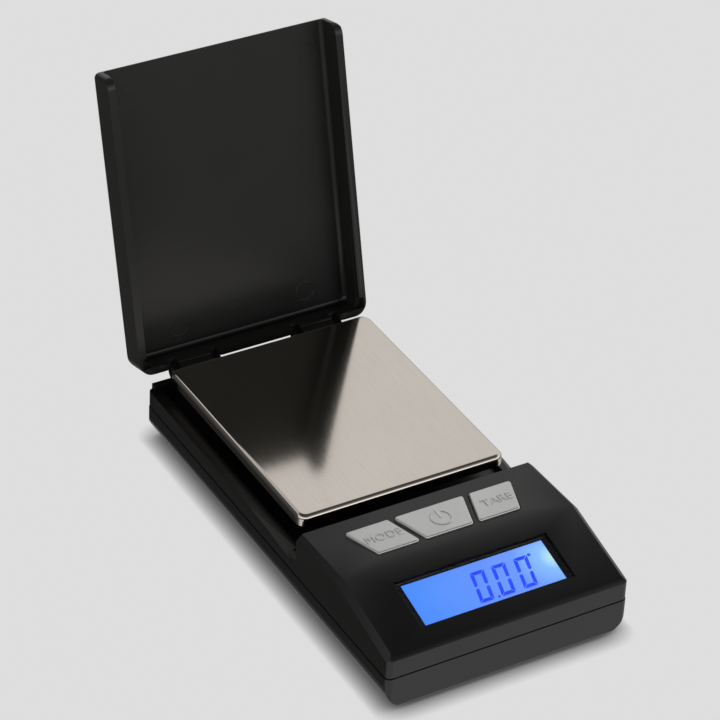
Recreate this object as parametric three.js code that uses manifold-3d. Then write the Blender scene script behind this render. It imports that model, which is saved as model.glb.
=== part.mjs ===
// Folding pocket gram scale, in millimetres, +Z up.
// Every part is drawn where it sits in the closed scale: X = 0 on the centre line, Y = 0 at the
// front face and Z = 0 on the table. The lid is then turned back on its hinge to its open stop,
// and the whole scale is moved along Y so that its box is centred on the origin.

import * as THREE from 'three';
import { ConvexGeometry } from 'three/addons/geometries/ConvexGeometry.js';
import { mergeVertices } from 'three/addons/utils/BufferGeometryUtils.js';
import Module from 'manifold-3d';

const wasm = await Module();
wasm.setup();

// ---------------------------------------------------------------- driving dimensions

// casing
const HALF_WIDTH = 32.5;
const LENGTH = 119.0;
const FOOT_HEIGHT = 0.8;
const FLOOR_TOP = FOOT_HEIGHT + 1.6;
const PARTING_Z = FOOT_HEIGHT + 9.1;
const PARTING_GAP = 0.3;
const LEDGE_Z = FOOT_HEIGHT + 13.6;
const REAR_WALL_TOP = FOOT_HEIGHT + 15.2;
const REAR_WALL_THICKNESS = 1.7;
const REAR_WALL_INSET = 1.1;
const DECK_TOP = 12.8;
const DECK_THICKNESS = 1.6;
const LEDGE_WIDTH = 3.3;
const SHELL_WALL = 1.8;
const FRONT_CORNER_R = 1.6;
const REAR_CORNER_R = 1.2;
const KEEL_CHAMFER = 5.4;
const KEEL_CHAMFER_INSIDE = 3.9;
const KEEL_FRONT_R = 1.0;
const KEEL_REAR_R = 1.2;
const BOTTOM_OVERHANG = 0.1;
const FLOOR_PAD = 0.6;
const RAMP = { start: 66, end: 46.2, width: 2.2, drop: 1.7, dimpleR: 0.6, dimpleInset: 1.9 };

// raised front housing: crease above the front face, ridge, rear edge
const FRONT_FACE_TOP = 14.9;
const CREASE = { y: 1.46, z: 16.3 };
const RIDGE = { y: 23.3, z: 22.0 };
const HOUSING_REAR = { y: 42.9, z: 21.4 };
const HOUSING_EDGE_BEVEL = 1.5;

// display, measured up the slope from the crease and down from its surface
const SLOPE = Math.atan2(RIDGE.z - CREASE.z, RIDGE.y - CREASE.y);
const WINDOW = { halfWidth: 20.7, low: 3.8, high: 17.6 };
const WINDOW_DEPTHS = [-1.3, -0.6];
const GLASS_DEPTHS = [-3.1, -1.5];
const BACKLIGHT = { halfWidth: 21.4, span: [3.2, 18.2], depths: [-5.6, -3.4] };
const LCD_FRAME = { halfWidth: 22.4, span: [2.5, 18.9], depths: [-6.2, -2.2] };
const FIT = 0.3;

// buttons: corners from the front left, anticlockwise
const BUTTON_FRONT_Y = 27.6;
const BUTTON_REAR_Y = 37.9;
const BUTTON_TOP = 22.35;
const BUTTON_FLANGE_Z = 19.0;
const BUTTON_FLANGE_HEIGHT = 0.45;
const BUTTON_FLANGE_WIDTH = 0.55;
const BUTTON_HOLE_GAP = 0.25;
const BUTTON_TRAVEL = 0.5;
const BUTTON_BEVEL = 0.35;
const BUTTONS = {
  mode_button: buttonCorners(-19.3, -7.9, -11.1, -22.8),
  power_button: buttonCorners(-6.4, 6.4, 9.6, -9.6),
  tare_button: buttonCorners(7.9, 19.3, 22.8, 11.1),
};

function buttonCorners(frontLeft, frontRight, rearRight, rearLeft) {
  return [
    [frontLeft, BUTTON_FRONT_Y],
    [frontRight, BUTTON_FRONT_Y],
    [rearRight, BUTTON_REAR_Y],
    [rearLeft, BUTTON_REAR_Y],
  ];
}

// lid and its two hinges
const HINGE = { y: 122.4, z: FOOT_HEIGHT + 13.9 };
const OPEN_ANGLE = THREE.MathUtils.degToRad(104.2);
const LID_TOP = 22.8;
const LID_PLATE = 1.2;
const LID_RIM_Z = LEDGE_Z + 0.2;
const LID_FRONT_Y = 43.4;
const LID_REAR_Y = 121.45;
const LID_SIDE_WALL = 2.0;
const LID_REAR_WALL = 1.8;
const HINGE_X = 17.5;
const HINGE_WIDTH = 13.0;
const CHEEK_THICKNESS = 1.6;
const KNUCKLE_R = 2.2;
const PIN_R = 0.92;
const PIN_HOLE_R = 1.0;
const STOP_REACH = HINGE.y - LENGTH - 0.3;
const REAR_NOTCH_GAP = 0.5;
const LID_FRONT_ROUND_R = 3.0;
const LID_FRONT_CORNER_R = 1.4;
const LID_REAR_CORNER_R = 3.5;
const LID_BEVEL = 0.9;

// weighing platform
const PLATFORM = {
  halfWidth: 28.24, front: 48.4, rear: 116.0, top: 21.0,
  skirt: 3.0, sheet: 0.6, corner: 2.6, bevel: 0.8,
};
const CARRIER = {
  halfWidth: 26.5, front: 50.2, rear: 113.2, top: 20.2,
  plate: 1.8, ribX: 12, ribLow: 15.6,
};
const CARRIER_BOSS = { halfWidth: 7, length: 12 };
const CARRIER_SCREW_HEAD_Z = 14.6;

// load cell
const CELL = {
  halfWidth: 6, front: 50, rear: 110, low: 3.6, high: 9.6,
  eyes: [75, 85], eyeR: 2.3, slot: 1.6,
};
const CELL_BOSS = { halfWidth: 8, span: [97, 111] };
const CELL_HOLE = { halfWidth: 9, span: [48, 64] };
const STOP_Y = CELL.front + 3;
const CELL_SCREW_YS = [100.5, 107.5];
const CARRIER_SCREW_YS = [53, 59];

// batteries
const BATTERY_R = 5.25;
const BATTERY_LENGTH = 43.3;
const BATTERY_Z = 7.85;
const BATTERY_YS = [25.7, 36.5];
const BATTERY_NUB = { radius: 1.9, length: 0.9 };
const CONTACT = { x: 24.75, thickness: 0.4, top: 12.2, halfWidth: 4 };
const SPRING = { x: 22.1, length: 2.0, radius: 2.4, turns: 2.5, wire: 0.3 };
const BAY_LIP = 2.3;
const BAY = { halfWidth: 25.2, front: 20.2, rear: 42.0, wall: 2.0, wallTop: 9.0, seatZ: 3.6 };
const DOOR = { halfWidth: 24.9, front: 19.3, rear: 42.9, thickness: 1.3 };

// electronics
const BOARD = { halfWidth: 29.6, front: 22.2, rear: 40.6, low: 14.0, thickness: 1.0 };
const BOARD_POST_X = 27.2;
const BOARD_POST_Y = 32.7;
const BOARD_POST = { radius: 2.2, hole: 1.0, span: [15.3, 20.5], holeTop: 18.6 };
const BOARD_SCREW_SPAN = [13.0, 18.2];
const RIBBON = { halfWidth: 12, y: [17, 24.2], z: [13.3, 13.6] };
const SWITCH = { half: 2.6, height: 2.0, plungerR: 1.4 };
const CHIP_AT = [-7.6, 25.4];

// fasteners and feet
const CASE_SCREWS = {
  case_screw_front_left: [-25.5, 7.0],
  case_screw_front_right: [25.5, 7.0],
  case_screw_rear_left: [-25.5, 112.0],
  case_screw_rear_right: [25.5, 112.0],
};
const FEET = {
  foot_front_left: [-20.5, 12.8],
  foot_front_right: [20.5, 12.8],
  foot_rear_left: [-20.5, 104.0],
  foot_rear_right: [20.5, 104.0],
};
const FOOT_R = 3.6;
const FOOT_RECESS = 0.7;
const SCREW_HEAD_R = 2.3;
const SCREW_HEAD_HEIGHT = 1.0;
const SCREW_SHAFT_R = 1.2;
const COUNTERBORE_R = 2.6;
const COUNTERBORE_DEPTH = 1.2;

const ROUND = 24;
const BEYOND = 60;

// ---------------------------------------------------------------- materials

function look(color, roughness, metalness) {
  return new THREE.MeshStandardMaterial({ color, roughness, metalness });
}

const LOOKS = {
  casing: look(0x1b1b1a, 0.45, 0),
  button: look(0xa9a9a7, 0.4, 0.5),
  steel: look(0xbdb4aa, 0.3, 1),
  plainSteel: look(0xb5b6b8, 0.35, 1),
  aluminium: look(0xc4c6c8, 0.4, 1),
  window: look(0xdfe8f2, 0.05, 0),
  glass: look(0x5f8dff, 0.1, 0),
  diffuser: look(0xe8eef8, 0.4, 0),
  whitePlastic: look(0xe4e4df, 0.5, 0),
  board: look(0x1f5c37, 0.5, 0),
  epoxy: look(0x111112, 0.35, 0),
  rubber: look(0x222222, 0.85, 0),
  silicone: look(0xf0f0ea, 0.6, 0),
  battery: look(0x3b4a63, 0.4, 0.2),
  ribbon: look(0xb98a3c, 0.5, 0),
};

// ---------------------------------------------------------------- solids

function solid(geometry) {
  const plain = geometry.clone();
  plain.deleteAttribute('normal');
  plain.deleteAttribute('uv');
  const merged = mergeVertices(plain, 1e-4);
  return new wasm.Manifold(new wasm.Mesh({
    numProp: 3,
    vertProperties: Float32Array.from(merged.attributes.position.array),
    triVerts: Uint32Array.from(merged.index.array),
  }));
}

function surface(shape) {
  const mesh = shape.getMesh();
  const geometry = new THREE.BufferGeometry();
  const positions = Float32Array.from(mesh.vertProperties);
  geometry.setAttribute('position', new THREE.BufferAttribute(positions, 3));
  geometry.setIndex(new THREE.BufferAttribute(Uint32Array.from(mesh.triVerts), 1));
  geometry.computeVertexNormals();
  return geometry;
}

function box(x, y, z) {
  const geometry = new THREE.BoxGeometry(x[1] - x[0], y[1] - y[0], z[1] - z[0]);
  geometry.translate((x[0] + x[1]) / 2, (y[0] + y[1]) / 2, (z[0] + z[1]) / 2);
  return solid(geometry);
}

// a box as wide to the left as to the right
function wideBox(halfWidth, y, z) {
  return box([-halfWidth, halfWidth], y, z);
}

function post(x, y, radius, z, segments = ROUND) {
  const geometry = new THREE.CylinderGeometry(radius, radius, z[1] - z[0], segments);
  geometry.rotateX(Math.PI / 2);
  geometry.translate(x, y, (z[0] + z[1]) / 2);
  return solid(geometry);
}

// a cylinder lying along X
function rod(x, y, z, radius, segments = ROUND) {
  const geometry = new THREE.CylinderGeometry(radius, radius, x[1] - x[0], segments);
  geometry.rotateZ(Math.PI / 2);
  geometry.translate((x[0] + x[1]) / 2, y, z);
  return solid(geometry);
}

function polygon(points) {
  return new THREE.Shape(points.map(([x, y]) => new THREE.Vector2(x, y)));
}

// a closed outline with its corners rounded, each by its own radius
function roundedPolygon(points, radii) {
  const shape = new THREE.Shape();
  points.forEach((point, i) => {
    const corner = new THREE.Vector2(...point);
    const before = new THREE.Vector2(...points.at(i - 1)).sub(corner);
    const after = new THREE.Vector2(...points[(i + 1) % points.length]).sub(corner);
    const radius = Array.isArray(radii) ? radii[i] : radii;
    const halfAngle = before.angleTo(after) / 2;
    const reach = radius / Math.tan(halfAngle);
    const start = before.setLength(reach).add(corner);
    const end = after.setLength(reach).add(corner);
    if (i === 0) {
      shape.moveTo(start.x, start.y);
    } else {
      shape.lineTo(start.x, start.y);
    }
    shape.quadraticCurveTo(corner.x, corner.y, end.x, end.y);
  });
  shape.closePath();
  return shape;
}

// a convex outline grown outwards by the same distance on every side
function grown(points, distance) {
  return points.map((point, i) => {
    const corner = new THREE.Vector2(...point);
    const before = corner.clone().sub(new THREE.Vector2(...points.at(i - 1))).normalize();
    const after = new THREE.Vector2(...points[(i + 1) % points.length]).sub(corner).normalize();
    const turn = before.cross(after);
    const shift = before.clone().sub(after).multiplyScalar(distance / turn);
    return [corner.x + shift.x, corner.y + shift.y];
  });
}

// an outline in X and Y, raised from z[0] to z[1]
function raised(shape, z, curveSegments = 4) {
  const depth = z[1] - z[0];
  const geometry = new THREE.ExtrudeGeometry(shape, { depth, bevelEnabled: false, curveSegments });
  geometry.translate(0, 0, z[0]);
  return solid(geometry);
}

// the same with its top edge bevelled inwards
function raisedBevelled(shape, z, bevel, bevelSegments = 2, curveSegments = 4) {
  const geometry = new THREE.ExtrudeGeometry(shape, {
    depth: z[1] - z[0],
    bevelThickness: bevel,
    bevelSize: bevel,
    bevelOffset: -bevel,
    bevelSegments,
    curveSegments,
  });
  geometry.translate(0, 0, z[0] - bevel);
  const lower = box([-BEYOND, BEYOND], [-BEYOND, 3 * BEYOND], [z[0] - BEYOND, z[0]]);
  return solid(geometry).subtract(lower);
}

// an outline in Y and Z, stretched along X
function across(points, x, bevel = 0) {
  const geometry = new THREE.ExtrudeGeometry(Array.isArray(points) ? polygon(points) : points, {
    depth: x[1] - x[0] - 2 * bevel,
    bevelEnabled: bevel > 0,
    bevelThickness: bevel,
    bevelSize: bevel,
    bevelOffset: -bevel,
    bevelSegments: 2,
    curveSegments: 6,
  });
  geometry.rotateY(Math.PI / 2);
  geometry.rotateX(Math.PI / 2);
  geometry.translate(x[0] + bevel, 0, 0);
  return solid(geometry);
}

// an outline in X and Z, stretched along Y
function along(points, y) {
  const geometry = new THREE.ExtrudeGeometry(polygon(points), { depth: y[1] - y[0], bevelEnabled: false });
  geometry.rotateX(Math.PI / 2);
  geometry.translate(0, y[1], 0);
  return solid(geometry);
}

function joined(solids) {
  return solids.reduce((whole, next) => whole.add(next));
}

function mesh(name, shape, material) {
  const part = new THREE.Mesh(surface(shape), material.clone());
  part.name = name;
  return part;
}

// ---------------------------------------------------------------- casing shells

function planOutline(halfWidth, front, rear, frontRadius, rearRadius) {
  const corners = [[-halfWidth, front], [halfWidth, front], [halfWidth, rear], [-halfWidth, rear]];
  return roundedPolygon(corners, [frontRadius, frontRadius, rearRadius, rearRadius]);
}

// a point on the display slope: s up the slope from the crease, n out from its surface
function onSlope(s, n) {
  const y = CREASE.y + s * Math.cos(SLOPE) - n * Math.sin(SLOPE);
  const z = CREASE.z + s * Math.sin(SLOPE) + n * Math.cos(SLOPE);
  return [y, z];
}

// a block that follows the display slope
function slopeBox(halfWidth, s, n) {
  return across([onSlope(s[0], n[0]), onSlope(s[1], n[0]), onSlope(s[1], n[1]), onSlope(s[0], n[1])], [
    -halfWidth,
    halfWidth,
  ]);
}

function screwWell(x, y) {
  return post(x, y, COUNTERBORE_R, [0, FOOT_HEIGHT + COUNTERBORE_DEPTH]).add(post(x, y, 1.5, [0, 5]));
}

// a closed YZ outline of the lower shell, with its front and rear bottom edges rounded
function keelSide(low) {
  const rear = LENGTH + BOTTOM_OVERHANG;
  const corners = [[-BOTTOM_OVERHANG, low], [rear, low], [rear, BEYOND], [-BOTTOM_OVERHANG, BEYOND]];
  return roundedPolygon(corners, [KEEL_FRONT_R, KEEL_REAR_R, BOTTOM_OVERHANG, BOTTOM_OVERHANG]);
}

// an XZ outline of the lower shell, with a rounded chamfer along both sides
function keelEnd(halfWidth, low, chamfer) {
  const bulge = chamfer * 0.38;
  const right = [
    [halfWidth - chamfer, low],
    [halfWidth - bulge, low + bulge],
    [halfWidth, low + chamfer],
    [halfWidth, BEYOND],
  ];
  const left = right.map(([x, z]) => [-x, z]).reverse();
  return [...right, ...left];
}

function bottomShell() {
  const halfWidth = HALF_WIDTH + BOTTOM_OVERHANG;
  const top = PARTING_Z - PARTING_GAP / 2;
  const rear = LENGTH + BOTTOM_OVERHANG;
  const outline = planOutline(halfWidth, -BOTTOM_OVERHANG, rear, FRONT_CORNER_R, REAR_CORNER_R);
  const outer = raised(outline, [0, top])
    .intersect(along(keelEnd(halfWidth, FOOT_HEIGHT, KEEL_CHAMFER), [-1, LENGTH + 1]))
    .intersect(across(keelSide(FOOT_HEIGHT), [-BEYOND, BEYOND]));
  const inner = wideBox(halfWidth - SHELL_WALL, [SHELL_WALL, LENGTH - SHELL_WALL], [0, BEYOND])
    .intersect(along(keelEnd(halfWidth - SHELL_WALL, FLOOR_TOP, KEEL_CHAMFER_INSIDE), [0, LENGTH]));
  const bayOuter = wideBox(
    BAY.halfWidth + BAY.wall,
    [BAY.front - BAY.wall, BAY.rear + BAY.wall],
    [FOOT_HEIGHT, BAY.wallTop],
  );
  const bayInner = wideBox(BAY.halfWidth, [BAY.front, BAY.rear], [BAY.seatZ, BEYOND]);
  const bayMouth = wideBox(BAY.halfWidth - BAY_LIP, [BAY.front, BAY.rear], [0, BAY.seatZ + 1]);
  const doorRecess = wideBox(
    DOOR.halfWidth + FIT,
    [DOOR.front - FIT, DOOR.rear + FIT],
    [0, FOOT_HEIGHT + DOOR.thickness + FIT],
  );
  const cellBoss = wideBox(CELL_BOSS.halfWidth, CELL_BOSS.span, [FOOT_HEIGHT, CELL.low - 0.1]);
  const screwSpots = Object.values(CASE_SCREWS);
  const screwPads = screwSpots.map(([x, y]) => post(x, y, 3.4, [FOOT_HEIGHT, FLOOR_TOP + FLOOR_PAD]));
  const wells = [...screwSpots, ...CELL_SCREW_YS.map((y) => [0, y])].map(([x, y]) => screwWell(x, y));
  const hollowTop = FOOT_HEIGHT + FOOT_RECESS;
  const footHollows = Object.values(FEET).map(([x, y]) => post(x, y, FOOT_R + 0.2, [0, hollowTop]));
  const stopPad = post(0, STOP_Y, 3.2, [FOOT_HEIGHT, FLOOR_TOP + 0.5]);
  const stopHole = post(0, STOP_Y, 1.75, [0, 5]);
  return outer
    .subtract(inner)
    .add(bayOuter)
    .subtract(joined([bayInner, bayMouth, doorRecess]))
    .add(joined([cellBoss, stopPad, ...screwPads]))
    .intersect(outer)
    .subtract(joined([...wells, ...footHollows, stopHole]));
}

// the housing's YZ outline, moved inwards by a wall thickness
function housingSide(wall, low) {
  const roof = wall / Math.cos(SLOPE);
  return [
    [wall, low],
    [HOUSING_REAR.y - wall, low],
    [HOUSING_REAR.y - wall, HOUSING_REAR.z - wall],
    [RIDGE.y + wall * Math.tan(SLOPE / 2), RIDGE.z - wall],
    [wall, CREASE.z - (CREASE.y - wall) * Math.tan(SLOPE) - roof],
  ];
}

function housing() {
  const side = [
    [0, PARTING_Z],
    [HOUSING_REAR.y, PARTING_Z],
    [HOUSING_REAR.y, HOUSING_REAR.z],
    [RIDGE.y, RIDGE.z],
    [CREASE.y, CREASE.z],
    [0, FRONT_FACE_TOP],
  ];
  const plan = planOutline(HALF_WIDTH, 0, HOUSING_REAR.y, FRONT_CORNER_R, 0.3);
  const sideBlock = across(side, [-HALF_WIDTH, HALF_WIDTH]);
  return raised(plan, [PARTING_Z + PARTING_GAP / 2, BEYOND]).intersect(sideBlock).subtract(housingEdges());
}

// prisms that bevel the housing's two long top edges, one pair for each stretch of its roof
function housingEdges() {
  const stretches = [[CREASE, RIDGE], [RIDGE, HOUSING_REAR]];
  const prisms = stretches.flatMap(([from, to]) => [-1, 1].map((sideSign) => {
    const outer = sideSign * (HALF_WIDTH + 1);
    const edge = sideSign * HALF_WIDTH;
    const inner = sideSign * (HALF_WIDTH - HOUSING_EDGE_BEVEL);
    const slope = (to.z - from.z) / (to.y - from.y);
    const ends = [from.y - 3, to.y + 3].map((y) => [y, from.z + (y - from.y) * slope]);
    const points = ends.flatMap(([y, z]) => [
      new THREE.Vector3(edge, y, z - HOUSING_EDGE_BEVEL),
      new THREE.Vector3(outer, y, z - HOUSING_EDGE_BEVEL - 1),
      new THREE.Vector3(inner, y, z),
      new THREE.Vector3(inner - sideSign, y, z + 1),
      new THREE.Vector3(outer, y, z + 1),
    ]);
    return solid(new ConvexGeometry(points));
  }));
  return joined(prisms);
}

// the ramp cut into the top of a side wall, where a finger lifts the lid, and its end dimple
function fingerRamp(sideSign) {
  const edge = sideSign * HALF_WIDTH;
  const out = sideSign * (HALF_WIDTH + 1);
  const { start, end, width, drop } = RAMP;
  const points = [
    [edge, start, LEDGE_Z],
    [out, start, LEDGE_Z + 1],
    [edge - sideSign * width, end, LEDGE_Z],
    [edge - sideSign * width, end, LEDGE_Z + 1],
    [edge, end, LEDGE_Z - drop],
    [out, end, LEDGE_Z - drop - drop / width],
    [out, end, LEDGE_Z + 1],
  ].map((point) => new THREE.Vector3(...point));
  const dimpleX = edge - sideSign * RAMP.dimpleInset;
  const dimple = post(dimpleX, end, RAMP.dimpleR, [LEDGE_Z - drop, LEDGE_Z + 1], 12);
  return solid(new ConvexGeometry(points)).add(dimple);
}

function cheekOutline() {
  const outline = new THREE.Shape();
  outline.moveTo(LENGTH - 1.2, PARTING_Z + 0.5);
  outline.lineTo(LENGTH, PARTING_Z + 0.5);
  outline.absarc(HINGE.y, HINGE.z, KNUCKLE_R, -Math.PI / 3, Math.PI / 2, false);
  outline.lineTo(LENGTH - 1.2, REAR_WALL_TOP);
  outline.closePath();
  return outline;
}

// the X spans of the two cheeks of one hinge
function cheekSpans(centre) {
  const half = HINGE_WIDTH / 2;
  return [
    [centre - half, centre - half + CHEEK_THICKNESS],
    [centre + half - CHEEK_THICKNESS, centre + half],
  ];
}

function topShell() {
  const low = PARTING_Z + PARTING_GAP / 2;
  const rim = raised(planOutline(HALF_WIDTH, 0, LENGTH, FRONT_CORNER_R, REAR_CORNER_R), [low, LEDGE_Z]);
  const rearWallSpan = [LENGTH - REAR_WALL_THICKNESS, LENGTH];
  const rearWall = wideBox(HALF_WIDTH - REAR_WALL_INSET, rearWallSpan, [low, REAR_WALL_TOP])
    .intersect(raised(planOutline(HALF_WIDTH, 0, LENGTH, 1, REAR_CORNER_R), [0, BEYOND]));
  const pan = wideBox(
    HALF_WIDTH - LEDGE_WIDTH,
    [HOUSING_REAR.y, LENGTH - REAR_WALL_THICKNESS],
    [DECK_TOP, LEDGE_Z + 1],
  );
  const underDeck = wideBox(
    HALF_WIDTH - SHELL_WALL,
    [SHELL_WALL, LENGTH - SHELL_WALL],
    [0, DECK_TOP - DECK_THICKNESS],
  );
  const underRoof = across(housingSide(SHELL_WALL, 0), [-HALF_WIDTH + SHELL_WALL, HALF_WIDTH - SHELL_WALL]);
  const cheeks = [-HINGE_X, HINGE_X].flatMap(cheekSpans).map((span) => across(cheekOutline(), span));
  const screwBosses = Object.values(CASE_SCREWS).map(([x, y]) => post(x, y, 2.6, [3.3, 18.5], 16));
  const boardPosts = [-BOARD_POST_X, BOARD_POST_X]
    .map((x) => post(x, BOARD_POST_Y, BOARD_POST.radius, BOARD_POST.span, 16));
  const body = joined([rim, rearWall, housing(), ...cheeks]);
  const bossesInside = joined([...screwBosses, ...boardPosts]).intersect(insideSpace());
  const buttonHoles = Object.values(BUTTONS)
    .map((corners) => raised(roundedPolygon(grown(corners, BUTTON_HOLE_GAP), 1.2), [18, BEYOND], 3));
  const windowHole = slopeBox(WINDOW.halfWidth, [WINDOW.low, WINDOW.high], [-4, 3]);
  const cellHole = wideBox(CELL_HOLE.halfWidth, CELL_HOLE.span, [DECK_TOP - 3, DECK_TOP + 1]);
  const screwHoles = Object.values(CASE_SCREWS).map(([x, y]) => post(x, y, 1.35, [3, 10.4], 16));
  const postHoles = [-BOARD_POST_X, BOARD_POST_X]
    .map((x) => post(x, BOARD_POST_Y, BOARD_POST.hole, [BOARD_POST.span[0] - 0.3, BOARD_POST.holeTop], 12));
  const pinHoles = [-HINGE_X, HINGE_X].map((x) => rod([x - 8, x + 8], HINGE.y, HINGE.z, PIN_HOLE_R));
  return body
    .subtract(joined([pan, underDeck, underRoof]))
    .add(bossesInside)
    .subtract(joined([...buttonHoles, windowHole, cellHole, ...screwHoles, ...postHoles, ...pinHoles]))
    .subtract(joined([fingerRamp(-1), fingerRamp(1)]));
}

// the room inside the closed casing and a little of the wall around it, which bosses may fill
function insideSpace() {
  const margin = 0.6;
  const side = SHELL_WALL - margin;
  return across(housingSide(side, 0), [-HALF_WIDTH + side, HALF_WIDTH - side])
    .add(wideBox(HALF_WIDTH - side, [SHELL_WALL, LENGTH - SHELL_WALL], [0, DECK_TOP - 0.8]));
}

// ---------------------------------------------------------------- lid

// the lid's knuckle for one hinge, with its web up the lid's end wall and the nose that meets
// the casing at the open stop
function lidKnuckle(centre) {
  const half = HINGE_WIDTH / 2 - CHEEK_THICKNESS - FIT;
  const span = [centre - half, centre + half];
  const barrel = rod(span, HINGE.y, HINGE.z, KNUCKLE_R);
  const web = across([
    [LID_REAR_Y - LID_REAR_WALL, HINGE.z],
    [HINGE.y, HINGE.z],
    [HINGE.y + KNUCKLE_R * Math.cos(0.4), HINGE.z + KNUCKLE_R * Math.sin(0.4)],
    [LID_REAR_Y - 0.3, HINGE.z + 4.4],
    [LID_REAR_Y - LID_REAR_WALL, HINGE.z + 4.4],
  ], span);
  const noseGeometry = new THREE.BoxGeometry(2 * half, STOP_REACH, 1.4);
  noseGeometry.translate(0, -STOP_REACH / 2, 0);
  noseGeometry.rotateX(OPEN_ANGLE);
  noseGeometry.translate(centre, HINGE.y, HINGE.z);
  return joined([barrel, web, solid(noseGeometry)]);
}

function lid() {
  const outline = planOutline(HALF_WIDTH, LID_FRONT_Y, LID_REAR_Y, LID_FRONT_CORNER_R, LID_REAR_CORNER_R);
  const outer = raisedBevelled(outline, [LID_RIM_Z, LID_TOP], LID_BEVEL);
  const inner = wideBox(
    HALF_WIDTH - LID_SIDE_WALL,
    [LID_FRONT_Y - 1, LID_REAR_Y - LID_REAR_WALL],
    [0, LID_TOP - LID_PLATE],
  );
  const notches = [-HINGE_X, HINGE_X].flatMap(cheekSpans).map(([from, to]) => box(
    [from - FIT, to + FIT],
    [LID_REAR_Y - LID_REAR_WALL - 1, LID_REAR_Y + 1],
    [0, HINGE.z + KNUCKLE_R + FIT],
  ));
  const frontRound = [-1, 1].map(roundedWallEnd);
  const cornerNotches = [-1, 1].map(rearWallNotch);
  const pinHoles = [-HINGE_X, HINGE_X].map((x) => rod([x - 8, x + 8], HINGE.y, HINGE.z, PIN_HOLE_R));
  return outer
    .subtract(joined([inner, ...notches, ...frontRound, ...cornerNotches]))
    .add(joined([-HINGE_X, HINGE_X].map(lidKnuckle)))
    .subtract(joined(pinHoles));
}

// what is cut from a side wall's rim where the casing's rear wall stands up inside the shut lid
function rearWallNotch(sideSign) {
  const inner = sideSign * (HALF_WIDTH - LID_SIDE_WALL - 1);
  const outer = sideSign * (HALF_WIDTH - REAR_WALL_INSET + FIT);
  const y = [LENGTH - REAR_WALL_THICKNESS - REAR_NOTCH_GAP, LID_REAR_Y - LID_REAR_WALL];
  return box([Math.min(inner, outer), Math.max(inner, outer)], y, [0, REAR_WALL_TOP + FIT]);
}

// what is cut away to round the lower front corner of a side wall
function roundedWallEnd(sideSign) {
  const radius = LID_FRONT_ROUND_R;
  const x = sideSign > 0 ? [HALF_WIDTH - 5, HALF_WIDTH + 1] : [-HALF_WIDTH - 1, -HALF_WIDTH + 5];
  const corner = box(x, [LID_FRONT_Y - 1, LID_FRONT_Y + radius], [LID_RIM_Z - 1, LID_RIM_Z + radius]);
  return corner.subtract(rod([x[0] - 1, x[1] + 1], LID_FRONT_Y + radius, LID_RIM_Z + radius, radius));
}

// ---------------------------------------------------------------- weighing parts

function platformTray() {
  const { halfWidth, front, rear, top, skirt, sheet, corner, bevel } = PLATFORM;
  const outline = planOutline(halfWidth, front, rear, corner, corner);
  const insideR = corner - sheet;
  const inner = planOutline(halfWidth - sheet, front + sheet, rear - sheet, insideR, insideR);
  return raisedBevelled(outline, [top - skirt, top], bevel).subtract(raised(inner, [0, top - sheet]));
}

function platformCarrier() {
  const plateLow = CARRIER.top - CARRIER.plate;
  const plate = wideBox(CARRIER.halfWidth, [CARRIER.front, CARRIER.rear], [plateLow, CARRIER.top]);
  const ribLength = [CARRIER.front + 2, CARRIER.rear - 2];
  const ribs = [-CARRIER.ribX, CARRIER.ribX]
    .map((x) => box([x - 0.8, x + 0.8], ribLength, [CARRIER.ribLow, CARRIER.top]));
  const bossSpan = [CELL.front, CELL.front + CARRIER_BOSS.length];
  const boss = wideBox(CARRIER_BOSS.halfWidth, bossSpan, [CELL.high + 0.3, CARRIER.top]);
  const seat = CARRIER_SCREW_HEAD_Z - SCREW_HEAD_HEIGHT - 0.1;
  const wells = CARRIER_SCREW_YS
    .map((y) => post(0, y, COUNTERBORE_R, [seat, BEYOND]).add(post(0, y, 1.5, [0, BEYOND])));
  return joined([plate, ...ribs, boss]).subtract(joined(wells));
}

function loadCell() {
  const bar = wideBox(CELL.halfWidth, [CELL.front, CELL.rear], [CELL.low, CELL.high]);
  const middle = (CELL.low + CELL.high) / 2;
  const eyes = CELL.eyes.map((y) => rod([-BEYOND, BEYOND], y, middle, CELL.eyeR));
  const slot = wideBox(BEYOND, CELL.eyes, [middle - CELL.slot / 2, middle + CELL.slot / 2]);
  const holes = [...CELL_SCREW_YS, ...CARRIER_SCREW_YS].map((y) => post(0, y, 1.5, [0, BEYOND], 16));
  return bar.subtract(joined([...eyes, slot, ...holes]));
}

// a machine screw with a cross recess, from the outer face of its head to its tip
function screw(x, y, headZ, tipZ) {
  const inwards = Math.sign(tipZ - headZ);
  const span = (from, to) => [Math.min(from, to), Math.max(from, to)];
  const head = post(x, y, SCREW_HEAD_R, span(headZ, headZ + inwards * SCREW_HEAD_HEIGHT));
  const shaft = post(x, y, SCREW_SHAFT_R, span(headZ, tipZ), 16);
  const recess = span(headZ - inwards, headZ + inwards * 0.5);
  const cross = joined([[1.3, 0.25], [0.25, 1.3]]
    .map(([halfX, halfY]) => box([x - halfX, x + halfX], [y - halfY, y + halfY], recess)));
  return head.add(shaft).subtract(cross);
}

function smallScrew(x, y, headZ, tipZ) {
  return post(x, y, 1.8, [headZ, headZ + 0.9], 16).add(post(x, y, 0.8, [headZ, tipZ], 12));
}

function setScrew(x, y, z) {
  const slot = box([x - 2, x + 2], [y - 0.25, y + 0.25], [z[0] - 1, z[0] + 0.6]);
  return post(x, y, 1.5, z, 16).subtract(slot);
}

// ---------------------------------------------------------------- batteries

function battery(y, sideSign) {
  const half = BATTERY_LENGTH / 2;
  const tip = half + BATTERY_NUB.length;
  const nub = sideSign > 0 ? [0, tip] : [-tip, 0];
  return rod([-half, half], y, BATTERY_Z, BATTERY_R).add(rod(nub, y, BATTERY_Z, BATTERY_NUB.radius, 12));
}

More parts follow.
